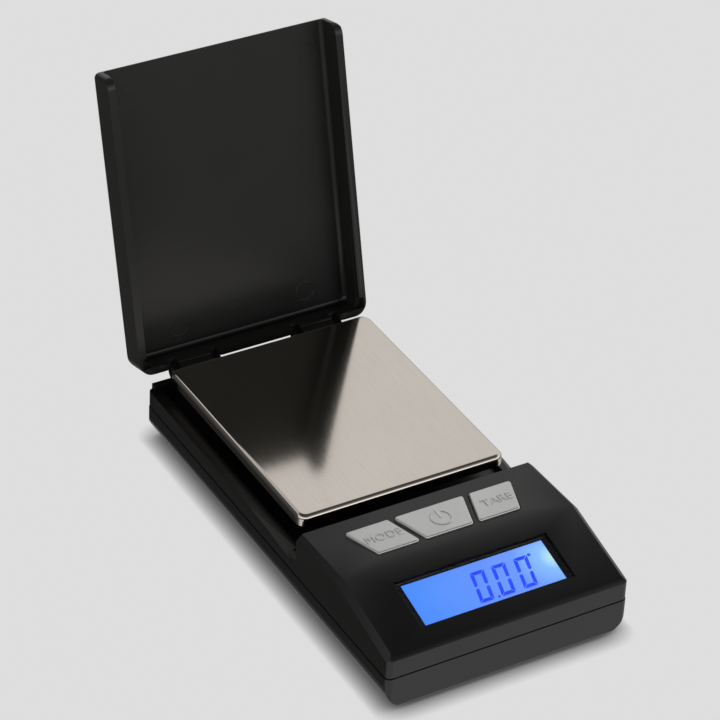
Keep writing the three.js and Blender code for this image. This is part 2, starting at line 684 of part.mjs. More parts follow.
function contactPlate(sideSign, y) {
  const x = sideSign * CONTACT.x;
  const half = CONTACT.thickness / 2;
  return box([x - half, x + half], y, [BAY.seatZ + 0.2, CONTACT.top]);
}

class Helix extends THREE.Curve {
  constructor(start, length, radius, turns) {
    super();
    this.start = start;
    this.length = length;
    this.radius = radius;
    this.turns = turns;
  }

  getPoint(t, target = new THREE.Vector3()) {
    const angle = 2 * Math.PI * this.turns * t;
    return target.set(
      this.start.x + this.length * t,
      this.start.y + this.radius * Math.cos(angle),
      this.start.z + this.radius * Math.sin(angle),
    );
  }
}

function batterySpring(y, sideSign) {
  const wire = new THREE.Shape();
  wire.absarc(0, 0, SPRING.wire, 0, 2 * Math.PI, false);
  const start = new THREE.Vector3(sideSign * SPRING.x, y, BATTERY_Z);
  const extrudePath = new Helix(start, sideSign * SPRING.length, SPRING.radius, SPRING.turns);
  return new THREE.ExtrudeGeometry(wire, { steps: 36, curveSegments: 3, bevelEnabled: false, extrudePath });
}

function batteryDoor() {
  const z = [FOOT_HEIGHT, FOOT_HEIGHT + DOOR.thickness];
  const plate = wideBox(DOOR.halfWidth, [DOOR.front, DOOR.rear], z);
  const plugHalf = BAY.halfWidth - BAY_LIP - FIT;
  const plug = wideBox(plugHalf, [BAY.front + FIT, BAY.rear - FIT], [z[0], z[1] + 0.4]);
  const grip = rod([-5, 5], DOOR.front + 3, FOOT_HEIGHT - 1.6, 2.4);
  return plate.add(plug).subtract(grip);
}

// ---------------------------------------------------------------- electronics

function lcdFrame() {
  const { halfWidth, span, depths } = LCD_FRAME;
  const hollowSpan = [BACKLIGHT.span[0] - 0.3, BACKLIGHT.span[1] + 0.3];
  const hollow = slopeBox(BACKLIGHT.halfWidth + 0.3, hollowSpan, [BACKLIGHT.depths[0] - 0.3, -1]);
  return slopeBox(halfWidth, span, depths).subtract(hollow);
}

function mainBoard() {
  const top = BOARD.low + BOARD.thickness;
  const plate = wideBox(BOARD.halfWidth, [BOARD.front, BOARD.rear], [BOARD.low, top]);
  const holes = [-BOARD_POST_X, BOARD_POST_X].map((x) => post(x, BOARD_POST_Y, 1.1, [0, BEYOND], 12));
  return plate.subtract(joined(holes));
}

function buttonCentre(corners) {
  const xs = corners.map(([x]) => x);
  return [(Math.min(...xs) + Math.max(...xs)) / 2, (BUTTON_FRONT_Y + BUTTON_REAR_Y) / 2];
}

function tactSwitch(x, y) {
  const base = BOARD.low + BOARD.thickness + 0.1;
  const { half, height, plungerR } = SWITCH;
  const body = box([x - half, x + half], [y - half, y + half], [base, base + height]);
  return body.add(post(x, y, plungerR, [base, BUTTON_FLANGE_Z - BUTTON_TRAVEL - 0.1], 16));
}

function button(corners) {
  const flangeOutline = roundedPolygon(grown(corners, BUTTON_FLANGE_WIDTH), 1.2);
  const flange = raised(flangeOutline, [BUTTON_FLANGE_Z, BUTTON_FLANGE_Z + BUTTON_FLANGE_HEIGHT], 3);
  const capOutline = roundedPolygon(corners, 1.0);
  return flange.add(raisedBevelled(capOutline, [BUTTON_FLANGE_Z, BUTTON_TOP], BUTTON_BEVEL, 1, 3));
}

function epoxyBlob(x, y) {
  const profile = [[0, 0], [3, 0], [2.7, 0.5], [1.9, 0.9], [0.9, 1.05], [0, 1.1]]
    .map(([radius, height]) => new THREE.Vector2(radius, height));
  const geometry = new THREE.LatheGeometry(profile, 16);
  geometry.rotateX(Math.PI / 2);
  geometry.translate(x, y, BOARD.low + BOARD.thickness + 0.1);
  return solid(geometry);
}

// ---------------------------------------------------------------- the assembly

const base = new THREE.Group();

base.add(mesh('bottom_shell', bottomShell(), LOOKS.casing));
base.add(mesh('top_shell', topShell(), LOOKS.casing));

const glassHalf = WINDOW.halfWidth - FIT;
const glassSpan = [WINDOW.low + FIT, WINDOW.high - FIT];
base.add(mesh('display_window', slopeBox(glassHalf, glassSpan, WINDOW_DEPTHS), LOOKS.window));
base.add(mesh('lcd_glass', slopeBox(glassHalf, glassSpan, GLASS_DEPTHS), LOOKS.glass));
const backlight = slopeBox(BACKLIGHT.halfWidth, BACKLIGHT.span, BACKLIGHT.depths);
base.add(mesh('lcd_backlight', backlight, LOOKS.diffuser));
base.add(mesh('lcd_frame', lcdFrame(), LOOKS.whitePlastic));
base.add(mesh('lcd_ribbon', wideBox(RIBBON.halfWidth, RIBBON.y, RIBBON.z), LOOKS.ribbon));

base.add(mesh('main_board', mainBoard(), LOOKS.board));
base.add(mesh('controller_chip', epoxyBlob(...CHIP_AT), LOOKS.epoxy));
for (const [name, corners] of Object.entries(BUTTONS)) {
  base.add(mesh(name.replace('button', 'switch'), tactSwitch(...buttonCentre(corners)), LOOKS.epoxy));
}
for (const [side, x] of [['left', -BOARD_POST_X], ['right', BOARD_POST_X]]) {
  const boardScrew = smallScrew(x, BOARD_POST_Y, ...BOARD_SCREW_SPAN);
  base.add(mesh(`board_screw_${side}`, boardScrew, LOOKS.plainSteel));
}

for (const [name, [x, y]] of Object.entries(CASE_SCREWS)) {
  base.add(mesh(name, screw(x, y, FOOT_HEIGHT + 0.1, 9.6), LOOKS.plainSteel));
}
for (const [name, [x, y]] of Object.entries(FEET)) {
  base.add(mesh(name, post(x, y, FOOT_R, [0, FOOT_HEIGHT + FOOT_RECESS - 0.1]), LOOKS.rubber));
}

base.add(mesh('load_cell', loadCell(), LOOKS.aluminium));
const gaugeCover = wideBox(4.5, [CELL.eyes[0] - 2, CELL.eyes[1] + 2], [CELL.high + 0.1, CELL.high + 1.0]);
base.add(mesh('strain_gauge_cover', gaugeCover, LOOKS.silicone));
CELL_SCREW_YS.forEach((y, i) => {
  base.add(mesh(`load_cell_screw_${i + 1}`, screw(0, y, FOOT_HEIGHT + 0.1, 9.0), LOOKS.plainSteel));
});
const stopScrew = setScrew(0, STOP_Y, [FOOT_HEIGHT + 0.2, CELL.low - 0.3]);
base.add(mesh('overload_stop', stopScrew, LOOKS.plainSteel));

const batteryEnds = [['battery_front', BATTERY_YS[0], 1], ['battery_rear', BATTERY_YS[1], -1]];
for (const [name, y, plusSide] of batteryEnds) {
  base.add(mesh(name, battery(y, plusSide), LOOKS.battery));
  const spring = new THREE.Mesh(batterySpring(y, -plusSide), LOOKS.plainSteel.clone());
  spring.name = name.replace('battery', 'battery_spring');
  base.add(spring);
}
const contacts = [
  ['battery_contact_bridge', -1, BATTERY_YS[0], BATTERY_YS[1]],
  ['battery_contact_plus', 1, BATTERY_YS[0], BATTERY_YS[0]],
  ['battery_contact_minus', 1, BATTERY_YS[1], BATTERY_YS[1]],
];
for (const [name, side, from, to] of contacts) {
  const contact = contactPlate(side, [from - CONTACT.halfWidth, to + CONTACT.halfWidth]);
  base.add(mesh(name, contact, LOOKS.plainSteel));
}
base.add(mesh('battery_door', batteryDoor(), LOOKS.casing));

for (const [side, x] of [['left', -HINGE_X], ['right', HINGE_X]]) {
  const half = HINGE_WIDTH / 2 - 0.3;
  base.add(mesh(`hinge_pin_${side}`, rod([x - half, x + half], HINGE.y, HINGE.z, PIN_R), LOOKS.plainSteel));
}

for (const [name, corners] of Object.entries(BUTTONS)) {
  base.add(mesh(name, button(corners), LOOKS.button));
}

base.add(mesh('platform_tray', platformTray(), LOOKS.steel));
base.add(mesh('platform_carrier', platformCarrier(), LOOKS.casing));
CARRIER_SCREW_YS.forEach((y, i) => {
  base.add(mesh(`carrier_screw_${i + 1}`, screw(0, y, CARRIER_SCREW_HEAD_Z, 5.0), LOOKS.plainSteel));
});

const lidPivot = new THREE.Group();
lidPivot.position.set(0, HINGE.y, HINGE.z);
lidPivot.rotation.x = -OPEN_ANGLE;
const lidMesh = mesh('lid', lid(), LOOKS.casing);
lidMesh.position.set(0, -HINGE.y, -HINGE.z);
lidPivot.add(lidMesh);

const scale = new THREE.Group();
scale.add(base, lidPivot);
scale.updateMatrixWorld(true);
const extent = new THREE.Box3().setFromObject(scale, true);
scale.position.y = -(extent.min.y + extent.max.y) / 2;

export default scale;
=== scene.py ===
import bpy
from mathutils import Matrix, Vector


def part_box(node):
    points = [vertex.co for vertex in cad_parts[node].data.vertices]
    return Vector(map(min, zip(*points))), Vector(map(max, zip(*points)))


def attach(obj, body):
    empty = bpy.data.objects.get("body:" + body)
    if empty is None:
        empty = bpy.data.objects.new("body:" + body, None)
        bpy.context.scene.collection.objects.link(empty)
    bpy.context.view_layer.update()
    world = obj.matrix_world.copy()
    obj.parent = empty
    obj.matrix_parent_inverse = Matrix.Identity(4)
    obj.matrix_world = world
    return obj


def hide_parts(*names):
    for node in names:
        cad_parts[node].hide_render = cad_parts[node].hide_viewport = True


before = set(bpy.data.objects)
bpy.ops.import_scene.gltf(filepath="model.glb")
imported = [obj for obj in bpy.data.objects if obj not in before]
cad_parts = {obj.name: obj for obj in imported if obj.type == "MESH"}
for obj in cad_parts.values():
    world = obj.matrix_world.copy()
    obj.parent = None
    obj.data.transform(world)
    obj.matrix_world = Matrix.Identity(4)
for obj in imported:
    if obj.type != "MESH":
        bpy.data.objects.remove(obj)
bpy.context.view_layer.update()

import math

import bmesh
import bpy
from mathutils import Matrix, Vector

# Shapes are drawn in millimetres, where they sit in the closed scale: X = 0 on the centre line,
# Y = 0 at the front face and Z = 0 on the table. place() moves them into the row frame.

MM = 0.001
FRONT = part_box("top_shell")[0].y
TO_ROW = Matrix.Translation((0, FRONT, 0)) @ Matrix.Scale(MM, 4)

# ---------------------------------------------------------------- sizes

HALF_WIDTH = 32.5
LENGTH = 119.0
FOOT_HEIGHT = 0.8
FLOOR_TOP = 2.4
PARTING_Z = 9.9
PARTING_GAP = 0.3
LEDGE_Z = 14.4
REAR_WALL_TOP = 16.0
REAR_WALL = 1.7
REAR_WALL_INSET = 1.1
DECK_TOP = 12.8
DECK = 1.6
LEDGE_WIDTH = 3.3
WALL = 1.8
FRONT_CORNER_R = 1.6
REAR_CORNER_R = 1.2
KEEL_R = 6.4
KEEL_INSIDE_R = 4.6
KEEL_FRONT_R = 1.0
KEEL_REAR_R = 1.2
OVERHANG = 0.099
FINGER_RAMP = {"start": 66.0, "end": 46.2, "width": 2.2, "drop": 1.7}
DIMPLE = {"radius": 0.6, "inset": 1.9, "depth": 1.6}

FRONT_FACE_TOP = 14.9
CREASE = (1.46, 16.3)
RIDGE = (23.3, 22.0)
HOUSING_REAR = (42.9, 21.4)
HOUSING_CHAMFER = 1.5
RIDGE_ROUND = 1.0
RIDGE_REACH = 1.6

# The display, measured up the slope from the crease (s) and out of its surface.
SLOPE = math.atan2(RIDGE[1] - CREASE[1], RIDGE[0] - CREASE[0])
WINDOW_HALF = 20.7
WINDOW_SPAN = (3.8, 17.6)
VISIBLE_HALF = 19.02
VISIBLE_SPAN = (4.67, 16.69)
WINDOW_CUT = (-4, 3)
PANE_DEPTHS = (-1.3, -0.6)
BORDER_DEPTHS = (-1.44, -1.32)
INK_DEPTHS = (-1.48, -1.44)
FIGURE_LEFTS = (-3.7, 2.05, 8.1)
FIGURE = {"low": 5.6, "width": 3.75, "height": 8.6, "slant": 0.2}
DECIMAL_POINT = ((1.05, 5.55), (1.6, 5.55), (1.72, 6.15), (1.17, 6.15))
UNIT_MARK = (14.1, 14.0, 0.42)
LAMP_AT = (19.3, 11.5, -1.5)
FIT = 0.3

BUTTON_Y = (27.6, 37.9)
BUTTON_TOP = 22.35
FLANGE_Z = 19.0
FLANGE_HEIGHT = 0.45
FLANGE_WIDTH = 0.55
HOLE_GAP = 0.25
HOLE_CORNER_R = 1.2
CAP_CORNER_R = 0.7
CAP_ROUND = 0.4
LEGEND_SIZE = 3.4
MODE_AT = (-15.1, 32.6)
TARE_AT = (15.9, 32.7)
POWER_AT = (0.5, 32.6)
POWER_RADIUS = 2.5
BUTTON_XS = {
    "mode_button": (-19.3, -7.9, -11.1, -22.8),
    "power_button": (-6.4, 6.4, 9.6, -9.6),
    "tare_button": (7.9, 19.3, 22.8, 11.1),
}

HINGE_Y = 122.4
HINGE_Z = 14.7
HINGE_X = 17.5
HINGE_WIDTH = 13.0
CHEEK = 1.6
CHEEK_DEPTH = 1.2
KNUCKLE_R = 2.18
PIN_HOLE_R = 1.0
PIN_HOLE_HALF = 8
OPEN_ANGLE = math.radians(104.2)
LID_TOP = 22.8
LID_CEILING = 21.6
LID_RIM = 14.6
LID_Y = (43.4, 121.45)
LID_SIDE = 2.0
LID_END = 1.8
LID_FRONT_R = 1.4
LID_REAR_R = 3.5
LID_ROUND = 1.05
LID_INSIDE_ROUND = 1.2
LID_INSIDE_REAR_R = 2.0
LID_SCOOP_R = 3.0
MOULD_MARKS = (
    (-25.4, 51.6, 2.5),
    (25.6, 51.6, 2.5),
    (-17.7, 113.7, 2.5),
    (18.8, 113.7, 2.5),
    (-1.5, 111.6, 1.4),
)
STOP_REACH = HINGE_Y - LENGTH - 0.3

TRAY_HALF = 28.24
TRAY_Y = (48.4, 116.0)
TRAY_Z = (18.0, 21.0)
TRAY_R = 2.6
TRAY_ROLL = 1.2
TRAY_INSIDE_R = 2.0
SHEET = 0.6

CELL_PAD = {"half": 8, "y": (97, 111), "top": 3.5}
CELL_SCREW_YS = (100.5, 107.5)
CELL_HOLE = {"half": 9, "y": (48, 64)}
STOP_Y = 53
STOP_PAD_R = 3.2
STOP_HOLE_R = 1.75
FLOOR_PAD_R = 3.4
FLOOR_PAD = 0.6
CASE_POST_R = 2.6
CASE_POST_LOW = 3.3
CASE_POST_TOPS = {"front": 16.2, "rear": 12}
CASE_POST_HOLE_R = 1.35
BOARD_POSTS = ((-27.2, 32.7), (27.2, 32.7))
BOARD_POST_R = 2.2
BOARD_POST_HOLE_R = 1.0
SCREW_HOLE_R = 1.5
COUNTERBORE_R = 2.6
COUNTERBORE_DEPTH = 1.2
FOOT_HOLE_R = 3.8
FOOT_RECESS = 0.7
CASE_SCREWS = ((-25.5, 7.0), (25.5, 7.0), (-25.5, 112.0), (25.5, 112.0))
FEET = ((-20.5, 12.8), (20.5, 12.8), (-20.5, 104.0), (20.5, 104.0))
BAY_LIP = 2.3
BAY = {"half": 25.2, "front": 20.2, "rear": 42.0, "wall": 2.0, "top": 9.0, "seat": 3.6}
DOOR = {"half": 24.9, "front": 19.3, "rear": 42.9, "thickness": 1.3}
DOOR_GRIP = {"half": 5, "inset": 3, "below": 1.6, "radius": 2.4}

# How much the sharp edges of each piece are rounded at the end.
SOFT_EDGES = {"bottom": 0.22, "top": 0.32, "lid": 0.3, "tray": 0.12, "door": 0.15, "pane": 0.1}

# How far the solids that cut or limit others reach.
FAR = 60.0


# ---------------------------------------------------------------- mesh code


def link(name, bm):
    mesh = bpy.data.meshes.new(name)
    bm.to_mesh(mesh)
    bm.free()
    thing = bpy.data.objects.new(name, mesh)
    bpy.context.scene.collection.objects.link(thing)
    return thing


def rectangle(x, y):
    return [(x[0], y[0]), (x[1], y[0]), (x[1], y[1]), (x[0], y[1])]


def rounded(points, radii, steps=8):
    """A closed outline with each corner turned into an arc of its own radius."""
    outline = []
    for i, point in enumerate(points):
        corner = Vector(point)
        radius = radii[i] if isinstance(radii, (tuple, list)) else radii
        if radius <= 0:
            outline.append(tuple(corner))
            continue
        before = (Vector(points[i - 1]) - corner).normalized()
        after = (Vector(points[(i + 1) % len(points)]) - corner).normalized()
        half = before.angle(after) / 2
        centre = corner + (before + after).normalized() * radius / math.sin(half)
        start = (corner + before * radius / math.tan(half) - centre).normalized()
        end = (corner + after * radius / math.tan(half) - centre).normalized()
        outline += [tuple(centre + start.slerp(end, k / steps) * radius) for k in range(steps + 1)]
    return outline


def grown(points, distance):
    """A convex outline, drawn anticlockwise, moved outwards on every side."""
    moved = []
    for i, point in enumerate(points):
        corner = Vector(point)
        before = (corner - Vector(points[i - 1])).normalized()
        after = (Vector(points[(i + 1) % len(points)]) - corner).normalized()
        turn = before.x * after.y - before.y * after.x
        moved.append(tuple(corner + (before - after) * distance / turn))
    return moved


def skin(ends):
    """A closed solid between two outlines with the same number of points."""
    bm = bmesh.new()
    rings = [[bm.verts.new(p) for p in end] for end in ends]
    bm.faces.new(rings[0])
    bm.faces.new(rings[1])
    count = len(rings[0])
    for i in range(count):
        j = (i + 1) % count
        bm.faces.new((rings[0][i], rings[0][j], rings[1][j], rings[1][i]))
    bmesh.ops.recalc_face_normals(bm, faces=bm.faces)
    return link("solid", bm)


def along_x(outline, x):
    return skin([[(w, u, v) for u, v in outline] for w in x])


def along_y(outline, y):
    return skin([[(u, w, v) for u, v in outline] for w in y])


def along_z(outline, z):
    return skin([[(u, v, w) for u, v in outline] for w in z])


def block(x, y, z):
    return along_z(rectangle(x, y), z)


def wide_block(half, y, z):
    return block((-half, half), y, z)


def circle(x, y, radius, count=32):
    turns = [2 * math.pi * k / count for k in range(count)]
    return [(x + radius * math.cos(t), y + radius * math.sin(t)) for t in turns]


def post(x, y, radius, z, count=32):
    return along_z(circle(x, y, radius, count), z)


def rod(x, y, z, radius, count=32):
    return along_x(circle(y, z, radius, count), x)


def hull(points):
    bm = bmesh.new()
    for point in points:
        bm.verts.new(point)
    bmesh.ops.convex_hull(bm, input=bm.verts)
    loose = [v for v in bm.verts if not v.link_faces]
    bmesh.ops.delete(bm, geom=loose, context="VERTS")
    bmesh.ops.recalc_face_normals(bm, faces=bm.faces)
    return link("solid", bm)


def combine(thing, operation, tools):
    """Joins, cuts or crosses thing with the other solids, which are used up."""
    for tool in tools:
        step = thing.modifiers.new("step", "BOOLEAN")
        step.solver = "MANIFOLD"
        step.operation = operation
        step.object = tool
    graph = bpy.context.evaluated_depsgraph_get()
    made = bpy.data.meshes.new_from_object(thing.evaluated_get(graph))
    thing.modifiers.clear()
    thing.data = made
    for tool in tools:
        bpy.data.objects.remove(tool)
    return thing


def fused(first, *others):
    return combine(first, "UNION", others)


def cut(first, *others):
    return combine(first, "DIFFERENCE", others)


def common(first, *others):
    return combine(first, "INTERSECT", others)


def eased(thing, width, segments, wanted):
    """Rounds the edges that wanted picks, given the places of both ends."""
    bm = bmesh.new()
    bm.from_mesh(thing.data)
    bmesh.ops.dissolve_limit(bm, angle_limit=math.radians(0.3), verts=bm.verts, edges=bm.edges)
    chosen = [e for e in bm.edges if wanted(*(v.co for v in e.verts))]
    bmesh.ops.bevel(
        bm,
        geom=chosen,
        offset=width,
        segments=segments,
        profile=0.5,
        affect="EDGES",
        clamp_overlap=True,
    )
    bm.to_mesh(thing.data)
    bm.free()
    return thing


def at_height(z):
    return lambda a, b: abs(a.z - z) < 1e-3 and abs(b.z - z) < 1e-3


def on_slope(s, n):
    """Y and Z of a point on the display slope: s up from the crease, n out of its surface."""
    return (
        CREASE[0] + s * math.cos(SLOPE) - n * math.sin(SLOPE),
        CREASE[1] + s * math.sin(SLOPE) + n * math.cos(SLOPE),
    )


def slope_block(half, s, n):
    outline = [on_slope(s[0], n[0]), on_slope(s[1], n[0]), on_slope(s[1], n[1]), on_slope(s[0], n[1])]
    return along_x(outline, (-half, half))


def on_slope_plate(outline, n):
    """An outline in X and s on the display slope, from depth n[0] to depth n[1]."""
    return skin([[(x, *on_slope(s, depth)) for x, s in outline] for depth in n])


def tidy(thing, soft=0.0, segments=2, angle=32):
    """Merges flat faces, then rounds what is still sharp and shades it smooth."""
    bm = bmesh.new()
    bm.from_mesh(thing.data)
    bmesh.ops.remove_doubles(bm, verts=bm.verts, dist=0.004)
    bmesh.ops.dissolve_limit(bm, angle_limit=math.radians(0.3), verts=bm.verts, edges=bm.edges)
    bm.to_mesh(thing.data)
    bm.free()
    if soft > 0:
        ease = thing.modifiers.new("ease", "BEVEL")
        ease.width = soft
        ease.segments = segments
        ease.limit_method = "ANGLE"
        ease.angle_limit = math.radians(angle)
        ease.harden_normals = True
        ease.miter_outer = "MITER_ARC"
        graph = bpy.context.evaluated_depsgraph_get()
        thing.data.shade_smooth()
        made = bpy.data.meshes.new_from_object(thing.evaluated_get(graph))
        thing.modifiers.clear()
        thing.data = made
    return thing


# ---------------------------------------------------------------- materials


class Nodes:
    """The node tree of a material or a world, with short ways to add to it."""

    def __init__(self, owner):
        owner.use_nodes = True
        self.tree = owner.node_tree

    def node(self, kind, **settings):
        made = self.tree.nodes.new(kind)
        for key, value in settings.items():
            setattr(made, key, value)
        return made

    def link(self, source, target):
        self.tree.links.new(source, target)

    def mixed(self, factor, a, b, blend="MIX"):
        """Colour a turning into b by factor; each colour is a tuple or another node's output."""
        made = self.node("ShaderNodeMix", data_type="RGBA", blend_type=blend)
        if isinstance(factor, float):
            made.inputs["Factor"].default_value = factor
        else:
            self.link(factor, made.inputs["Factor"])
        for socket, value in ((made.inputs[6], a), (made.inputs[7], b)):
            if isinstance(value, tuple):
                socket.default_value = (*value, 1)
            else:
                self.link(value, socket)
        return made.outputs[2]


class Look(Nodes):
    """A material of a Principled shader and the nodes that feed it."""

    def __init__(self, name, **sockets):
        self.material = bpy.data.materials.new(name)
        super().__init__(self.material)
        self.shader = self.tree.nodes["Principled BSDF"]
        self.coordinates = self.node("ShaderNodeTexCoord").outputs["Object"]
        for key, value in sockets.items():
            self.shader.inputs[key.replace("_", " ")].default_value = value

    def stretched(self, scale):
        mapping = self.node("ShaderNodeMapping")
        mapping.inputs["Scale"].default_value = scale
        self.link(self.coordinates, mapping.inputs["Vector"])
        return mapping.outputs["Vector"]

    def noise(self, scale, detail=4.0, rough=0.5, vector=None):
        made = self.node("ShaderNodeTexNoise")
        made.inputs["Scale"].default_value = scale
        made.inputs["Detail"].default_value = detail
        made.inputs["Roughness"].default_value = rough
        self.link(vector or self.coordinates, made.inputs["Vector"])
        return made.outputs["Fac"]

    def ranged(self, value, low, high, start=0.3, end=0.7):
        made = self.node("ShaderNodeMapRange")
        made.inputs["From Min"].default_value = start
        made.inputs["From Max"].default_value = end
        made.inputs["To Min"].default_value = low
        made.inputs["To Max"].default_value = high
        self.link(value, made.inputs["Value"])
        return made.outputs["Result"]

    def distance(self, vector, point):
        made = self.node("ShaderNodeVectorMath", operation="DISTANCE")
        made.inputs[1].default_value = point
        self.link(vector, made.inputs[0])
        return made.outputs["Value"]

    def along_width(self):
        """The surface's X, from the centre line."""
        axes = self.node("ShaderNodeSeparateXYZ")
        self.link(self.coordinates, axes.inputs["Vector"])
        return axes.outputs["X"]

    def colour(self, source):
        self.link(source, self.shader.inputs["Base Color"])

    def roughness(self, source):
        self.link(source, self.shader.inputs["Roughness"])

    def bump(self, height, strength, distance):
        made = self.node("ShaderNodeBump")
        made.inputs["Strength"].default_value = strength
        made.inputs["Distance"].default_value = distance
        self.link(height, made.inputs["Height"])
        self.link(made.outputs["Normal"], self.shader.inputs["Normal"])

    def edges(self, start, end):
        """1 where the surface is an outer edge, 0 where it is flat."""
        geometry = self.node("ShaderNodeNewGeometry")
        return self.ranged(geometry.outputs["Pointiness"], 0.0, 1.0, start, end)


def srgb(r, g, b):
    """An 8-bit screen colour as the linear one that a shader needs."""
    values = (r / 255, g / 255, b / 255)
    return tuple(v / 12.92 if v <= 0.04045 else ((v + 0.055) / 1.055) ** 2.4 for v in values)


def plain_look(name, dark, light, rough, metal=0.0, grain=900.0, bump=0.15, patch=60.0):
    """Moulded or painted stuff: patchy colour, patchy gloss and a fine grain."""
    look = Look(name, Metallic=metal)
    look.colour(look.mixed(look.ranged(look.noise(patch), 0, 1), dark, light))
    look.roughness(look.ranged(look.noise(patch * 3), rough - 0.05, rough + 0.05))
    look.bump(look.noise(grain, 2.0), bump, 0.00002)
    return look.material


# Distances in the looks below are in metres, and noise scales are waves per metre.


def casing_look():
    """Satin black plastic, paler at its outer edges (partly wear, partly a painted highlight) and dull close
    to the hinge axis.
    """
    look = Look("satin_black_plastic")
    patches = look.mixed(look.ranged(look.noise(45), 0, 1), srgb(9, 9, 8), srgb(15, 15, 14))
    # The outer edges are painted paler: partly wear, partly a painted highlight along each edge.
    paler_edges = look.mixed(look.edges(0.52, 0.62), patches, srgb(34, 34, 32))
    look.colour(paler_edges)
    smudges = look.noise(28, 6.0, 0.6)
    look.roughness(look.ranged(smudges, 0.3, 0.38))
    from_hinge = look.distance(look.stretched((0, 1, 1)), place((0, HINGE_Y, HINGE_Z)))
    shine = look.ranged(from_hinge, 0.12, 0.5, 0.003, 0.009)
    look.link(shine, look.shader.inputs["Specular IOR Level"])
    grain = look.noise(2600, 2.0, 0.6)
    look.bump(grain, 0.22, 0.00002)
    return look.material


def steel_look():
    """Steel brushed along Y: fine streaks in tone and gloss, and faint stains."""
    look = Look("brushed_steel", Metallic=1.0, Anisotropic=0.3)
    brush = look.noise(120, 5.0, 0.75, look.stretched((40, 0.9, 40)))
    clouds = look.noise(30, 3.0)
    tone = look.mixed(look.ranged(brush, 0, 1), srgb(211, 202, 192), srgb(224, 215, 206))
    stained = look.mixed(look.ranged(clouds, 0, 0.25), tone, srgb(200, 192, 184))
    look.colour(stained)
    look.roughness(look.ranged(brush, 0.07, 0.11))
    look.bump(brush, 0.07, 0.00002)
    tangent = look.node("ShaderNodeTangent", direction_type="RADIAL", axis="X")
    look.link(tangent.outputs["Tangent"], look.shader.inputs["Tangent"])
    return look.material


def button_look():
    """Silver paint with fine flakes, rubbed brighter at the edges."""
    look = Look("silver_paint", Metallic=0.8)
    flakes = look.noise(5200, 2.0, 0.7)
    tone = look.mixed(look.ranged(flakes, 0, 1), srgb(208, 208, 206), srgb(226, 226, 224))
    paler_edges = look.mixed(look.edges(0.55, 0.7), tone, srgb(240, 240, 238))
    look.colour(paler_edges)
    look.roughness(look.ranged(look.noise(90), 0.27, 0.33))
    look.bump(flakes, 0.12, 0.00001)
    return look.material


def lcd_look():
    """The lit glass: bluer on the left, with a pale spot by the lamp at its right end."""
    look = Look("backlit_display", Roughness=0.25)
    glow = place((LAMP_AT[0], *on_slope(*LAMP_AT[1:])))
    from_lamp = look.distance(look.coordinates, glow)
    across = look.ranged(look.along_width(), 0, 1, -0.019, 0.006)
    body = look.mixed(across, srgb(76, 142, 255), srgb(110, 152, 255))
    lit = look.mixed(look.ranged(from_lamp, 1, 0, 0.0005, 0.0105), body, srgb(150, 205, 250))
    hot = look.mixed(look.ranged(from_lamp, 1, 0, 0.0, 0.0035), lit, srgb(200, 240, 225))
    cloudy = look.mixed(look.ranged(look.noise(110), 0, 0.16), hot, srgb(60, 120, 255))
    look.colour(cloudy)
    look.shader.inputs["Emission Strength"].default_value = 0.92
    look.link(cloudy, look.shader.inputs["Emission Color"])
    look.bump(look.noise(500), 0.03, 0.00001)
    return look.material


def ink_look():
    """The dark segments, which still let some of the light through."""
    look = Look("display_segments", Roughness=0.3)
    tone = look.mixed(look.ranged(look.noise(400), 0, 1), srgb(36, 66, 235), srgb(52, 84, 250))
    look.colour(tone)
    look.link(tone, look.shader.inputs["Emission Color"])
    look.shader.inputs["Emission Strength"].default_value = 0.9
    look.bump(look.noise(900), 0.03, 0.00001)
    return look.material


def window_look():
    look = Look("clear_window", Transmission_Weight=1.0, IOR=1.42)
    look.colour(look.mixed(look.ranged(look.noise(70), 0, 1), (0.96, 0.97, 0.98), (1, 1, 1)))
    look.roughness(look.ranged(look.noise(240, 5.0), 0.01, 0.04))
    look.bump(look.noise(160), 0.02, 0.00001)
    return look.material


def battery_look():
    """A plain cell wrap with a copper band towards one end."""
    look = Look("battery_wrap", Metallic=0.3)
    band = look.ranged(look.along_width(), 0, 1, 0.0119, 0.0121)
    body = look.mixed(look.ranged(look.noise(80), 0, 1), srgb(44, 58, 82), srgb(56, 72, 98))
    look.colour(look.mixed(band, body, srgb(186, 150, 92)))
    look.roughness(look.ranged(look.noise(200), 0.3, 0.42))
    look.bump(look.noise(900), 0.08, 0.00001)
    return look.material


def board_look():
    """Green board with a small rectangular pattern of paler tracks."""
    look = Look("circuit_board")
    tracks = look.node("ShaderNodeTexBrick", offset=0.5)
    tracks.inputs["Scale"].default_value = 420.0
    tracks.inputs["Mortar Size"].default_value = 0.06
    tracks.inputs["Color1"].default_value = (*srgb(24, 84, 50), 1)
    tracks.inputs["Color2"].default_value = (*srgb(30, 94, 56), 1)
    tracks.inputs["Mortar"].default_value = (*srgb(60, 128, 80), 1)
    look.link(look.coordinates, tracks.inputs["Vector"])
    look.colour(tracks.outputs["Color"])
    look.roughness(look.ranged(look.noise(300), 0.38, 0.5))
    look.bump(tracks.outputs["Fac"], 0.2, 0.00002)
    return look.material


# ---------------------------------------------------------------- pieces


def place(point):
    return TO_ROW @ Vector(point)


def show(thing, name, body, look, nodes=(), turn=None):
    """Moves a finished solid into the row frame, gives it its look and smooth shading, hangs it on its body
    and hides the CAD nodes it takes the place of.
    """
    thing.name = name
    thing.data.name = name
    if turn:
        thing.data.transform(turn)
    thing.data.transform(TO_ROW)
    thing.data.materials.clear()
    thing.data.materials.append(look)
    thing.data.shade_smooth()
    even = thing.modifiers.new("even_normals", "WEIGHTED_NORMAL")
    even.keep_sharp = True
    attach(thing, body)
    if nodes:
        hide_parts(*nodes)
    return thing


